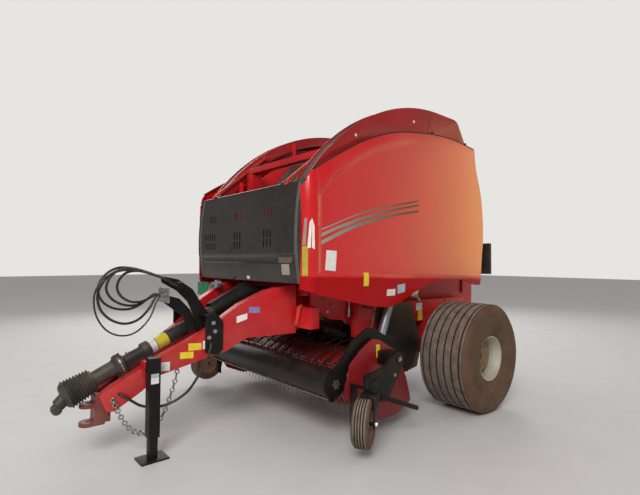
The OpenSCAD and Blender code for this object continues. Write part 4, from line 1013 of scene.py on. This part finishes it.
def build_guard():
    piece("guard_panel", guard_panel(), SMOKED, "guard", ("front_guard",), 28)
    for word, side in SIDES.items():
        strip_xs, lip_xs = sorted((side * 0.806, side * 0.846)), sorted((side * 0.846, side * 0.866))
        strip = guard_film(*strip_xs, GUARD_LOW + 0.004, GUARD_HIGH - 0.004, 0.003, 30)
        piece("guard_edge_strip_" + word, strip, EDGE_STRIP, "guard")
        seal = guard_seal(side * 0.862, 0.011)
        merge(seal, guard_film(*lip_xs, GUARD_LOW + 0.002, GUARD_HIGH, 0.004, 30))
        piece("guard_seal_" + word, seal, SEAL_AND_GAP_SHADE, "guard", (), 40)
    # Ribs behind the panel: three uprights and a rail under its lower edge.
    ribs = bmesh.new()
    for x in (-0.40, 0.18, 0.632, -0.632):
        rib = tube([Vector((x, guard_y(z) + 0.020, z)) for z in lines_with([], 1.30, 2.07, 0.04)], 0.012, 8)
        merge(ribs, rib)
    merge(ribs, block((-0.85, guard_y(1.29) + 0.006, 1.276), (0.85, guard_y(1.29) + 0.024, 1.300), 0.003))
    piece("guard_ribs", ribs, POWDER, "guard")
    for name, material, place in [("guide", GUARD_FILM, (0.579, 0.756, 1.433, 1.478)),
                                  ("key", BLANK_FILM, (0.610, 0.717, 1.337, 1.424)),
                                  ("tag", WHITE_VINYL, (0.058, 0.104, 1.284, 1.312))]:
        piece("guard_plate_" + name, guard_film(*place), material, "guard")
    feet = bmesh.new()
    bolts = []
    for side in (1, -1):
        x = side * 0.600
        merge(feet, block((x - 0.045, -0.892, 2.094), (x + 0.045, -0.838, 2.101), 0.002))
        merge(feet, block((x - 0.045, -0.846, 2.060), (x + 0.045, -0.838, 2.101), 0.002))
        bolts += [((x - 0.026, -0.868, 2.102), (0, 0, 1), 1.0), ((x + 0.026, -0.868, 2.102), (0, 0, 1), 1.0)]
    piece("guard_feet", feet, ZINC, "guard")
    set_screws("guard_foot_bolts", bolts, "guard")


build_guard()


# Tine reel: bars with a coil and a spring tine for each gap between the stripper bands, on four spider discs.
REEL_AT, BAND_PITCH, BAR_AT, COIL_R = Vector((0, -0.270, 0.400)), 2 * 0.940 / 29, 0.172, 0.0145


def reel_tree():
    tree, given = new_tree("spring_tine_reel", [
        ("Tines", "Int", 29), ("Bars", "Int", 5), ("Pitch", "Float", BAND_PITCH),
        ("Wire radius", "Float", 0.0030), ("Bar radius", "Float", 0.011), ("Turn", "Float", 2 * pi / 5)])
    wire = add(tree, "GeometryNodeCurvePrimitiveCircle", {"Resolution": 6},
               {"Radius": given.outputs["Wire radius"]})
    coil = add(tree, "GeometryNodeCurveSpiral", {
        "Resolution": 10, "Rotations": 2.5, "Start Radius": COIL_R, "End Radius": COIL_R, "Height": 0.018})
    laid = add(tree, "GeometryNodeTransform",
               {"Rotation": (0, pi / 2, 0), "Translation": (-0.009, 0, BAR_AT)},
               {"Geometry": coil.outputs[0]})
    prong = add(tree, "GeometryNodeCurveQuadraticBezier", {
        "Resolution": 8, "Start": (0.009, 0.012, BAR_AT), "Middle": (0.006, 0.020, 0.225),
        "End": (0.004, -0.012, 0.2635)})
    tine = add(tree, "GeometryNodeCurveToMesh", {"Fill Caps": True},
               {"Curve": join(tree, laid, prong), "Profile Curve": wire.outputs[0]})
    half = maths(tree, "MULTIPLY_ADD", given.outputs["Tines"], -0.5, 0.5)
    first = vector_of(tree, 0, maths(tree, "MULTIPLY", half, given.outputs["Pitch"]))
    pitch = vector_of(tree, 0, given.outputs["Pitch"])
    line = add(tree, "GeometryNodeMeshLine",
               links={"Count": given.outputs["Tines"], "Start Location": first, "Offset": pitch})
    comb = add(tree, "GeometryNodeInstanceOnPoints",
               links={"Points": line.outputs[0], "Instance": tine.outputs[0]})
    pipe = add(tree, "GeometryNodeMeshCylinder", {"Vertices": 16, "Depth": 1.944},
               {"Radius": given.outputs["Bar radius"]})
    pipe = add(tree, "GeometryNodeTransform", {"Rotation": (0, pi / 2, 0), "Translation": (0, 0, BAR_AT)},
               {"Geometry": pipe.outputs[0]})
    one = join(tree, comb, pipe)
    hubs = add(tree, "GeometryNodeMeshLine", {"Offset": (0, 0, 0)}, {"Count": given.outputs["Bars"]})
    index = add(tree, "GeometryNodeInputIndex").outputs[0]
    angle = vector_of(tree, 0, maths(tree, "MULTIPLY", index, given.outputs["Turn"]))
    turned = add(tree, "FunctionNodeEulerToRotation", links={0: angle})
    ring = add(tree, "GeometryNodeInstanceOnPoints",
               links={"Points": hubs.outputs[0], "Instance": one, "Rotation": turned.outputs[0]})
    return finished_tree(tree, ring, given)


def build_reel():
    run_tree("spring_tines", reel_tree(), "reel", STEEL, shift=REEL_AT, stands_for=("tine_reel",))
    core = bmesh.new()
    merge(core, bar((-1.048, REEL_AT.y, REEL_AT.z), (1.048, REEL_AT.y, REEL_AT.z), 0.026, 24))
    # columns: distance from the disc's middle, radius
    profile = [(-0.004, 0.026), (-0.004, 0.120), (-0.010, 0.130), (-0.010, 0.150), (-0.004, 0.158),
               (-0.004, 0.186), (0.004, 0.186), (0.004, 0.158), (-0.002, 0.150), (-0.002, 0.130),
               (0.004, 0.120), (0.004, 0.026)]
    for x in (-0.978, -0.324, 0.324, 0.978):
        merge(core, revolve(profile, (x * 0.995, REEL_AT.y, REEL_AT.z), (1, 0, 0), 60, closed=True))
    piece("reel_core", core, SHADED_INNER_RED, "reel")


build_reel()


# Windguard: pressed arms, two bright rails and bent fingers; in front of them the crop roller.
ROLLER_AT, ARM_X = (-0.662, 0.488), 0.990


def build_windguard():
    rails = bmesh.new()
    merge(rails, bar((-ARM_X, -0.600, 0.612), (ARM_X, -0.600, 0.612), 0.010))
    merge(rails, bar((-ARM_X, -0.700, 0.370), (ARM_X, -0.700, 0.370), 0.008))
    piece("windguard_rails", rails, BRIGHT_BAR, "crop_guard", ("windguard",))
    fingers = bmesh.new()
    for i in range(-7, 8):
        x = i * 118
        bend = [(x, -600, 612), (x, -520, 662), (x, -410, 706), (x, -290, 734), (x, -180, 742)]
        merge(fingers, tube(smooth_route(bend, 4), 0.0065, 8))
        merge(fingers, bar((x * 0.001 - 0.012, -0.600, 0.612), (x * 0.001 + 0.012, -0.600, 0.612), 0.015, 16))
    piece("windguard_fingers", fingers, POWDER, "crop_guard", (), 50)
    roller = bmesh.new()
    end = ARM_X - 0.012
    profile = [(-end, 0), (-end, 0.098), (-end + 0.004, 0.104), (-end + 0.020, 0.108), (end - 0.020, 0.108),
               (end - 0.004, 0.104), (end, 0.098), (end, 0)]
    merge(roller, revolve(profile, (0, *ROLLER_AT), (1, 0, 0), 64))
    merge(roller, bar((-ARM_X - 0.026, *ROLLER_AT), (ARM_X + 0.026, *ROLLER_AT), 0.020))
    piece("crop_roller_tube", roller, ROLLER_COAT, "guard_roller", ("crop_roller",), 25)
    hub = bmesh.new()
    for side in (1, -1):
        # The bearing cap has six lobes.
        lobes = [(ROLLER_AT[0] + (0.034 + 0.007 * cos(6 * a)) * cos(a),
                  ROLLER_AT[1] + (0.034 + 0.007 * cos(6 * a)) * sin(a))
                 for a in [2 * pi * k / 72 for k in range(72)]]
        merge(hub, prism(lobes, *sorted((side * (ARM_X + 0.018), side * (ARM_X + 0.034))), 0.002))
    piece("roller_bearing_caps", hub, ZINC, "guard_roller", (), 50)


build_windguard()


# Gauge wheels: ribbed solid tyres on pressed discs, in caster forks; the left fork stands turned outwards.
CASTER_AT, CASTER_TRAIL, GAUGE_Z = (1.213, -0.520), 0.120, 0.255


def build_gauge_wheels():
    # columns: distance from the middle, radius
    half = [(0.050, 0.098), (0.058, 0.112), (0.062, 0.130), (0.0645, 0.148), (0.062, 0.162), (0.055, 0.172),
            (0.046, 0.1765)]
    tread = []
    for c in (-0.030, -0.010, 0.010, 0.030):
        tread += [(c - 0.005, 0.1795), (c - 0.0035, 0.172), (c + 0.0035, 0.172), (c + 0.005, 0.1795)]
    skins = [WALL] * (len(half) - 1) + ([RIB] + [GROOVE] * 3) * 4 + [RIB] + [WALL] * len(half)
    profile = [(-x, r) for x, r in half] + tread + [(x, r) for x, r in reversed(half)]
    disc_profile = [(0.050, 0.099), (0.054, 0.104), (0.056, 0.099), (0.050, 0.092), (0.0, 0.088),
                    (-0.020, 0.080), (-0.026, 0.060), (-0.024, 0.042), (0.030, 0.038), (0.045, 0.034),
                    (0.045, 0.0145), (-0.045, 0.0145), (-0.045, 0.040), (-0.034, 0.044), (-0.034, 0.080),
                    (-0.040, 0.092), (-0.055, 0.098), (-0.054, 0.104), (-0.048, 0.103)]
    for word, side in SIDES.items():
        turn = radians(31) if side > 0 else 0.0
        at = (side * (CASTER_AT[0] + CASTER_TRAIL * sin(turn)),
              CASTER_AT[1] - CASTER_TRAIL * cos(turn), GAUGE_Z)
        axis, body = (side * cos(turn), sin(turn), 0), "gauge_" + word
        tyre = revolve(profile, at, axis, 72, closed=True)
        for i, face in enumerate(tyre.faces):
            face.material_index = skins[i // 72]
        piece("gauge_tyre_" + word, tyre, TYRE_SKINS, body, ("gauge_wheel_" + word,), 34)
        piece("gauge_disc_" + word, revolve(disc_profile, at, axis, 60, closed=True), DUSTY_DISC, body)
        # Castle nut and washer on the fork's axle.
        out = Vector(axis)
        nut = bar(Vector(at) + out * 0.087, Vector(at) + out * 0.092, 0.024, 20)
        merge(nut, revolve([(0.090, 0), (0.090, 0.020), (0.104, 0.020), (0.104, 0)], at, axis, 6))
        piece("fork_axle_nut_" + word, nut, ZINC, "gauge_fork_" + word)
    arms = bmesh.new()
    boss = [(0, 0.040), (0.004, 0.040), (0.006, 0.036), (0.006, 0.024), (0, 0.024)]
    merge(arms, revolve(boss, (1.226, -0.150, 0.650), (1, 0, 0), 32, closed=True), both_sides=True)
    merge(arms, block((1.226, -0.511, 0.420), (1.240, -0.419, 0.530), 0.004), both_sides=True)
    body = NODES["gauge_arms"]["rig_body"]
    piece("gauge_arm_fittings", arms, POWDER, body)
    # columns: place, facing, size
    bolts = [((1.232, -0.150, 0.650), (1, 0, 0), 1.3), ((1.226, -0.207, 0.530), (1, 0, 0), 1.0),
             ((1.226, -0.302, 0.362), (1, 0, 0), 1.0)]
    set_screws("gauge_arm_bolts", on_both(bolts), body)


build_gauge_wheels()


# Flat plates, bands and small fittings. A plate is a thin film over four corners.
# Faces that they lie on: the frame rail, the pick-up's end plate, the jack and the chamber's side wall.
FRAME_X, PICKUP_X, JACK_X, WALL_X = 0.7303, 1.0524, 0.3255, 0.6345


def decal(corners):
    thick = 0.0010
    bm = bmesh.new()
    bm.faces.new([bm.verts.new(c) for c in corners])
    bm.normal_update()
    made = bmesh.ops.extrude_face_region(bm, geom=bm.faces[:])
    lift = bm.faces[:][0].normal * thick
    pull(bm, made, lift)
    bmesh.ops.recalc_face_normals(bm, faces=bm.faces)
    return bm


# The drawbar's left beam in plan: the rear end of its outer face, and the direction that this face looks.
BEAM_AT, BEAM_OUT = (0.5275, -0.7128), (0.95399, -0.29983)


def beam_point(forward, z, out):
    """A point in front of the outer face of the drawbar's left beam."""
    return Vector((BEAM_AT[0] + BEAM_OUT[1] * forward + BEAM_OUT[0] * out,
                   BEAM_AT[1] - BEAM_OUT[0] * forward + BEAM_OUT[1] * out, z))


def build_plates():
    # columns: name, finish, back edge and front edge, low and high at the back, low and high at the front
    for name, material, back, front, low_b, high_b, low_f, high_f in [
        ("lift", LILAC_FILM, 0.294, 0.388, 1.015, 1.065, 1.019, 1.068),
        ("service", WHITE_VINYL, 0.402, 0.490, 0.970, 1.018, 0.940, 0.994),
        ("shaft", YELLOW_VINYL, 0.767, 0.866, 0.749, 0.799, 0.745, 0.802),
        ("table", WHITE_VINYL, 0.670, 0.756, 0.753, 0.818, 0.751, 0.814),
        ("pinch", YELLOW_VINYL, 0.827, 0.928, 0.687, 0.737, 0.687, 0.737),
        ("jack", WHITE_VINYL, 1.001, 1.065, 0.606, 0.673, 0.606, 0.671),
    ]:
        corners = [beam_point(forward, z, 0.0004) for forward, z in
                   ((front, low_f), (back, low_b), (back, high_b), (front, high_f))]
        piece("beam_plate_" + name, decal(corners), material, "chassis")
    # columns: name, finish, body, x of the face it lies on, y and z of its lower front and upper back corners
    for name, material, body, x, (y0, z0), (y1, z1) in [
        ("frame_plate_white", WHITE_VINYL, "chassis", FRAME_X, (0.742, 0.940), (0.845, 1.015)),
        ("frame_plate_yellow", YELLOW_VINYL, "chassis", FRAME_X, (0.776, 0.834), (0.845, 0.938)),
        ("jack_plate_white", WHITE_VINYL, "parking_jack", JACK_X, (-1.845, 0.552), (-1.788, 0.598)),
        ("jack_plate_blue", BLUE_VINYL, "parking_jack", JACK_X, (-1.845, 0.600), (-1.788, 0.624)),
    ]:
        piece(name, decal([(x, y0, z0), (x, y1, z0), (x, y1, z1), (x, y0, z1)]), material, body)
    slanted = [(PICKUP_X, y, z)
               for y, z in ((-0.238, 0.646), (-0.192, 0.642), (-0.192, 0.748), (-0.238, 0.752))]
    piece("pickup_plate", decal(slanted), YELLOW_VINYL, "pickup")
    piece("axle_hanger_toe", block(mm(655, 768, 826), mm(729.9, 866, 942), 0.004), ENAMEL, "chassis")
    bracket = [(beam_point(forward, z, 0.0125), (*BEAM_OUT, 0), 1.0)
               for forward, z in ((0.677, 0.954), (0.663, 0.887), (0.709, 0.839))]
    set_screws("hose_holder_bolts", bracket, "chassis")
    # Caps and a small strut on the side wall behind the shield, and the orange lever beside the drawbar.
    green = bar((WALL_X, -0.462, 1.107), (0.646, -0.462, 1.107), 0.014, 16, 0.003)
    merge(green, bar((WALL_X, -0.378, 1.063), (0.646, -0.378, 1.063), 0.010, 16, 0.003))
    piece("wall_caps_green", green, GREEN_CAP, "chassis")
    pale = bar((WALL_X, -0.417, 1.004), (0.646, -0.417, 1.004), 0.010, 16, 0.003)
    piece("wall_cap_pale", pale, PALE_CAP, "chassis")
    strut = bar((0.660, -0.168, 1.120), (0.660, -0.171, 1.020), 0.006, 12)
    merge(strut, bar((0.660, -0.171, 1.028), (0.660, -0.173, 0.940), 0.0125, 20, 0.002))
    for y, z in ((-0.180, 1.086), (-0.184, 0.938)):
        merge(strut, block((0.634, y, z), (0.668, y + 0.022, z + 0.010), 0.001))
    piece("latch_strut", strut, SILVER, "chassis")
    bend = [(534, -690, 896), (560, -702, 915), (584, -706, 985), (604, -706, 1052), (628, -704, 1068)]
    piece("hose_stand_lever", tube(smooth_route(bend, 5), 0.017, 12), ORANGE_LEVER, "chassis")
    # Pale caps on the crescent plates' screws, partly a painted highlight.
    caps = bmesh.new()
    for y, z in [(-0.763, 2.116), (-0.232, 2.577), (0.612, 2.877)]:
        merge(caps, bar((0.799, y, z), (0.806, y, z), 0.015, 16, 0.003), both_sides=True)
    piece("crescent_screw_caps", caps, PALE_CAP, "chassis")


build_plates()


# Drive shaft: guard tubes with ribs and blank bands, and the corrugated cover of its wide-angle joint.
SHAFT_REAR, SHAFT_FRONT = Vector((0, -0.870, 1.150)), Vector((0, -2.215, 0.541))
SHAFT_AXIS = (SHAFT_FRONT - SHAFT_REAR).normalized()


def build_shaft():
    length = (SHAFT_FRONT - SHAFT_REAR).length
    tubes = bmesh.new()
    # columns: distance along, radius
    profile = [(0.040, 0), (0.040, 0.058), (0.300, 0.058), (0.302, 0.061), (0.330, 0.061), (0.332, 0.058),
               (0.772, 0.058), (0.778, 0.062), (0.800, 0.062), (0.804, 0.049), (0.955, 0.049), (0.960, 0.064),
               (0.968, 0.066), (1.012, 0.066), (1.020, 0.062), (1.022, 0.049), (1.160, 0.049), (1.172, 0.070),
               (1.180, 0.084), (1.226, 0.084), (1.232, 0.072), (1.250, 0.060), (length, 0.056), (length, 0)]
    merge(tubes, revolve(profile, SHAFT_REAR, SHAFT_AXIS, 40))
    turn, ribs = frame_at(SHAFT_REAR, SHAFT_AXIS), 8
    for k in range(ribs):
        rib = block((0.060, -0.003, 1.176), (0.088, 0.003, 1.230), 0.001)
        rib.transform(turn @ Matrix.Rotation(2 * pi * k / ribs, 4, "Z"))
        merge(tubes, rib)
    merge(tubes, block(mm(-26, -1970, 470), mm(26, -1890, 640), 0.004))
    piece("shaft_guard_tubes", tubes, MOULDED, "chassis", ("drive_shaft",), 30)
    radius, thick = 0.0494, 0.0008
    for name, material, start, end in [("shaft_band_yellow", YELLOW_VINYL, 0.806, 0.900),
                                       ("shaft_band_white", WHITE_VINYL, 0.906, 0.954)]:
        section = [(start, radius), (start, radius + thick), (end, radius + thick), (end, radius)]
        piece(name, revolve(section, SHAFT_REAR, SHAFT_AXIS, 40, closed=True), material, "chassis")
    # Nine folds, each a little wider than the one before it.
    folds, fold = [(0.0, 0), (0.0, 0.074)], 0.021
    for i in range(9):
        base = 0.078 + 0.002 * i
        folds += [(0.008 + (i + part) * fold, base + rise) for part, rise in
                  ((0, 0), (0.22, 0.004), (0.42, 0.0135), (0.58, 0.0135), (0.78, 0.004))]
    folds += [(0.200, 0.092), (0.206, 0.090), (0.216, 0.078), (0.222, 0.062), (0.222, 0)]
    start = Vector((0, SHAFT_FRONT.y + 0.068, SHAFT_FRONT.z + 0.031))
    cover = revolve(folds, start, SHAFT_AXIS, 48)
    merge(cover, bar((0, -2.290, 0.520), (0, -2.376, 0.425), 0.046, 28, 0.010))
    merge(cover, bar((-0.034, -2.381, 0.405), (0.034, -2.381, 0.405), 0.034, 28, 0.006))
    piece("joint_cover", cover, MOULDED, "chassis", ("shaft_bellows",), 40)
    ring = revolve([(1.200, 0.0855), (1.200, 0.088), (1.212, 0.088), (1.212, 0.0855)], SHAFT_REAR,
                   SHAFT_AXIS, 40, closed=True)
    piece("joint_cover_tie", ring, ZINC, "chassis")


build_shaft()


# Gauges and blank green cover on the valve block.
def build_valves():
    body = "chassis"
    for k, (x, y, z) in enumerate([(-0.516, -0.934, 1.153), (-0.324, -0.968, 1.222)]):
        shell = [(0.0, 0), (0.0, 0.034), (0.006, 0.0395), (0.034, 0.0395), (0.036, 0.036), (0.0335, 0.0345)]
        piece("gauge_case_%d" % k, revolve(shell, (x, y, z), (0, -1, 0), 40), ZINC, body)
        face = revolve([(0.0335, 0.0345), (0.0335, 0)], (x, y, z), (0, -1, 0), 40)
        piece("gauge_face_%d" % k, face, WHITE_VINYL, body)
        pointer = prism([(0, 0), (0.002, 0.001), (0.027, 0.001), (0.027, -0.001), (0.002, -0.001)], 0, 0.0008)
        turned = Matrix.Translation((x, y - 0.0343, z)) @ Matrix.Rotation(radians(40 + 35 * k), 4, "Y")
        pointer.transform(turned @ Matrix.Rotation(radians(-90), 4, "Z"))
        piece("gauge_pointer_%d" % k, pointer, SEAL_AND_GAP_SHADE, body)
        marks = bmesh.new()
        for m in range(9):
            a = radians(-210 + 30 * m)
            tick = block((-0.0008, -0.0008, 0.026), (0.0008, 0.0, 0.031))
            tick.transform(Matrix.Translation((x, y - 0.0340, z)) @ Matrix.Rotation(a, 4, "Y"))
            merge(marks, tick)
        piece("gauge_marks_%d" % k, marks, SEAL_AND_GAP_SHADE, body)
    piece("valve_cover", block(mm(-790, -968, 1092), mm(-566, -948, 1228), 0.006), GREEN_CAP, body)


build_valves()


# Rear lamps: boards on their brackets, with domed lenses.
def build_rear_lamps():
    boards = bmesh.new()
    for z in (1.390, 1.570):
        merge(boards, block((0.604, 2.150, z), (0.628, 2.350, z + 0.040), 0.002), both_sides=True)
    merge(boards, block((0.520, 2.339, 1.290), (0.700, 2.385, 1.690), 0.008), both_sides=True)
    body = NODES["rear_lamps"]["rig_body"]
    piece("lamp_boards", boards, LAMP_HOUSING, body, ("rear_lamps",))
    for name, lens, z in [("white_lens", LENS_CLEAR, 1.320), ("red_lens", LENS_RED, 1.450),
                          ("amber_lens", LENS_AMBER, 1.580)]:
        dome = bmesh.new()
        merge(dome, block((0.551, 2.380, z + 0.001), (0.669, 2.4148, z + 0.089), 0.010, 3), both_sides=True)
        piece(name, dome, lens, body)


build_rear_lamps()


# Plain nodes that keep their own shape and take a finish.
PLAIN = {
    "chamber_rollers": STEEL, "front_belts": BELTING, "safety_chain": ZINC, "tailgate_rollers": STEEL,
    "bale_belts": BELTING, "float_springs": STEEL, "coupling_rack": ZINC, "valve_block": SILVER,
    "knife_floor": SHADED_INNER_RED, "stripper_bands": CROP_ENAMEL,
}
for name, material in PLAIN.items():
    mesh = NODES[name].data
    mesh.materials.clear()
    mesh.materials.append(material)

# Nodes whose edges are rounded as pressed, welded or moulded parts are: node, finish, edge radius in metres.
for name, material, edge in [
    ("axle_beam", SHADED_INNER_RED, 0.008), ("frame_rails", BEAM_ENAMEL, 0.004), ("cross_beam", BEAM_ENAMEL, 0.004),
    ("side_plates", SHADED_INNER_RED, 0.002), ("side_walls", BEAM_ENAMEL, 0.002), ("front_frame", ENAMEL, 0.005),
    ("net_box", SHADED_INNER_RED, 0.002), ("arches", SHADED_CRESCENT_ENAMEL, 0.003), ("arch_liners", SMOKED_MATT, 0.002),
    ("drawbar", ENAMEL, 0.006), ("hitch", SHADED_INNER_RED, 0.005), ("gearbox", POWDER, 0.004),
    ("hose_bracket", POWDER, 0.003), ("side_covers", COVER_PLASTIC, 0.004), ("rotor", STEEL, 0.0),
    ("guard_arms", FADED_RED, 0.004), ("tailgate_walls", BEAM_ENAMEL, 0.003),
    ("tailgate_frame", ENAMEL, 0.005), ("ram_barrel_left", SILVER, 0.002),
    ("ram_barrel_right", SILVER, 0.002), ("ram_rod_left", CHROME, 0.001), ("ram_rod_right", CHROME, 0.001),
    ("pickup_frame", CROP_ENAMEL, 0.003), ("gauge_arms", POWDER, 0.004), ("gauge_fork_left", POWDER, 0.002),
    ("gauge_fork_right", POWDER, 0.002), ("windguard_arms", POWDER, 0.003), ("jack", POWDER, 0.004),
]:
    dressed(name, material, edge)


# Studio: a pale floor, a soft key from the front left and two fills.
def studio():
    floor_bm = bmesh.new()
    bmesh.ops.create_grid(floor_bm, x_segments=1, y_segments=1, size=40)
    mesh = bpy.data.meshes.new("studio_floor")
    floor_bm.to_mesh(mesh)
    floor_bm.free()
    floor = link(bpy.data.objects.new("studio_floor", mesh))
    floor.location.z = -0.0005
    material = bpy.data.materials.new("pale_studio_floor")
    material.use_nodes = True
    tree = material.node_tree
    shader = tree.nodes["Principled BSDF"]
    speckle = add(tree, "ShaderNodeTexNoise", {"Scale": 3.0, "Detail": 4.0}, {"Vector": object_place(tree)})
    tree.links.new(blended(tree, speckle.outputs["Fac"], "#cecbc7", "#c4c1bc"), shader.inputs["Base Color"])
    shader.inputs["Roughness"].default_value = 0.9
    mesh.materials.append(material)

    world = bpy.data.worlds.new("studio_sky")
    bpy.context.scene.world = world
    world.use_nodes = True
    tree = world.node_tree
    tree.nodes.clear()
    place = add(tree, "ShaderNodeTexCoord").outputs["Generated"]
    height = split(tree, place)["Z"]
    ramp = add(tree, "ShaderNodeValToRGB", links={0: height})
    for element, position, colour in zip(ramp.color_ramp.elements, (0.0, 0.55), ("#8f8b86", "#eef1f5")):
        element.position, element.color = position, linear(colour)
    lit = add(tree, "ShaderNodeBackground", {"Strength": 0.62}, {"Color": ramp.outputs[0]})
    seen = add(tree, "ShaderNodeBackground", {"Color": linear("#e6e5e2"), "Strength": 1.0})
    # Gloss mirrors a bright, warm haze low in the sky behind the machine, and a dimmer, cooler sky elsewhere.
    way = add(tree, "ShaderNodeVectorMath", {"operation": "DOT_PRODUCT", 1: (0.087, 0.996, 0.0)}, {0: place})
    near = maths(tree, "POWER", ranged(tree, way.outputs["Value"], 0.42, 0.97), 2.0)
    haze = ranged(tree, near, low=0.30, high=1.60)
    strength = maths(tree, "MULTIPLY", haze, ranged(tree, height, 0.26, 0.42, 1.0, 0.4))
    tint = blended(tree, near, "#dcdce2", "#ffd890")
    mirrored = add(tree, "ShaderNodeBackground", links={"Color": tint, "Strength": strength})
    path = add(tree, "ShaderNodeLightPath").outputs
    gloss = add(tree, "ShaderNodeMixShader",
                links={0: path["Is Glossy Ray"], 1: lit.outputs[0], 2: mirrored.outputs[0]})
    mixed = add(tree, "ShaderNodeMixShader",
                links={0: path["Is Camera Ray"], 1: gloss.outputs[0], 2: seen.outputs[0]})
    add(tree, "ShaderNodeOutputWorld", links={0: mixed.outputs[0]})

    # columns: name, place, aim, size, power
    for name, place, aim, size, power in [
        ("key", (5.5, -6.5, 6.5), (0, 0, 1.4), 4.0, 620),
        ("fill", (-7.5, 1.5, 5.0), (0, 0, 1.2), 5.0, 220),
        ("rim", (-3.5, 7.5, 6.0), (0, 0.5, 1.5), 4.0, 260),
    ]:
        data = bpy.data.lights.new(name, "AREA")
        data.shape, data.size, data.energy = "SQUARE", size, power
        lamp = link(bpy.data.objects.new(name, data))
        lamp.matrix_world = frame_at(place, Vector(place) - Vector(aim))
    bpy.context.scene.view_settings.view_transform = "Standard"


studio()
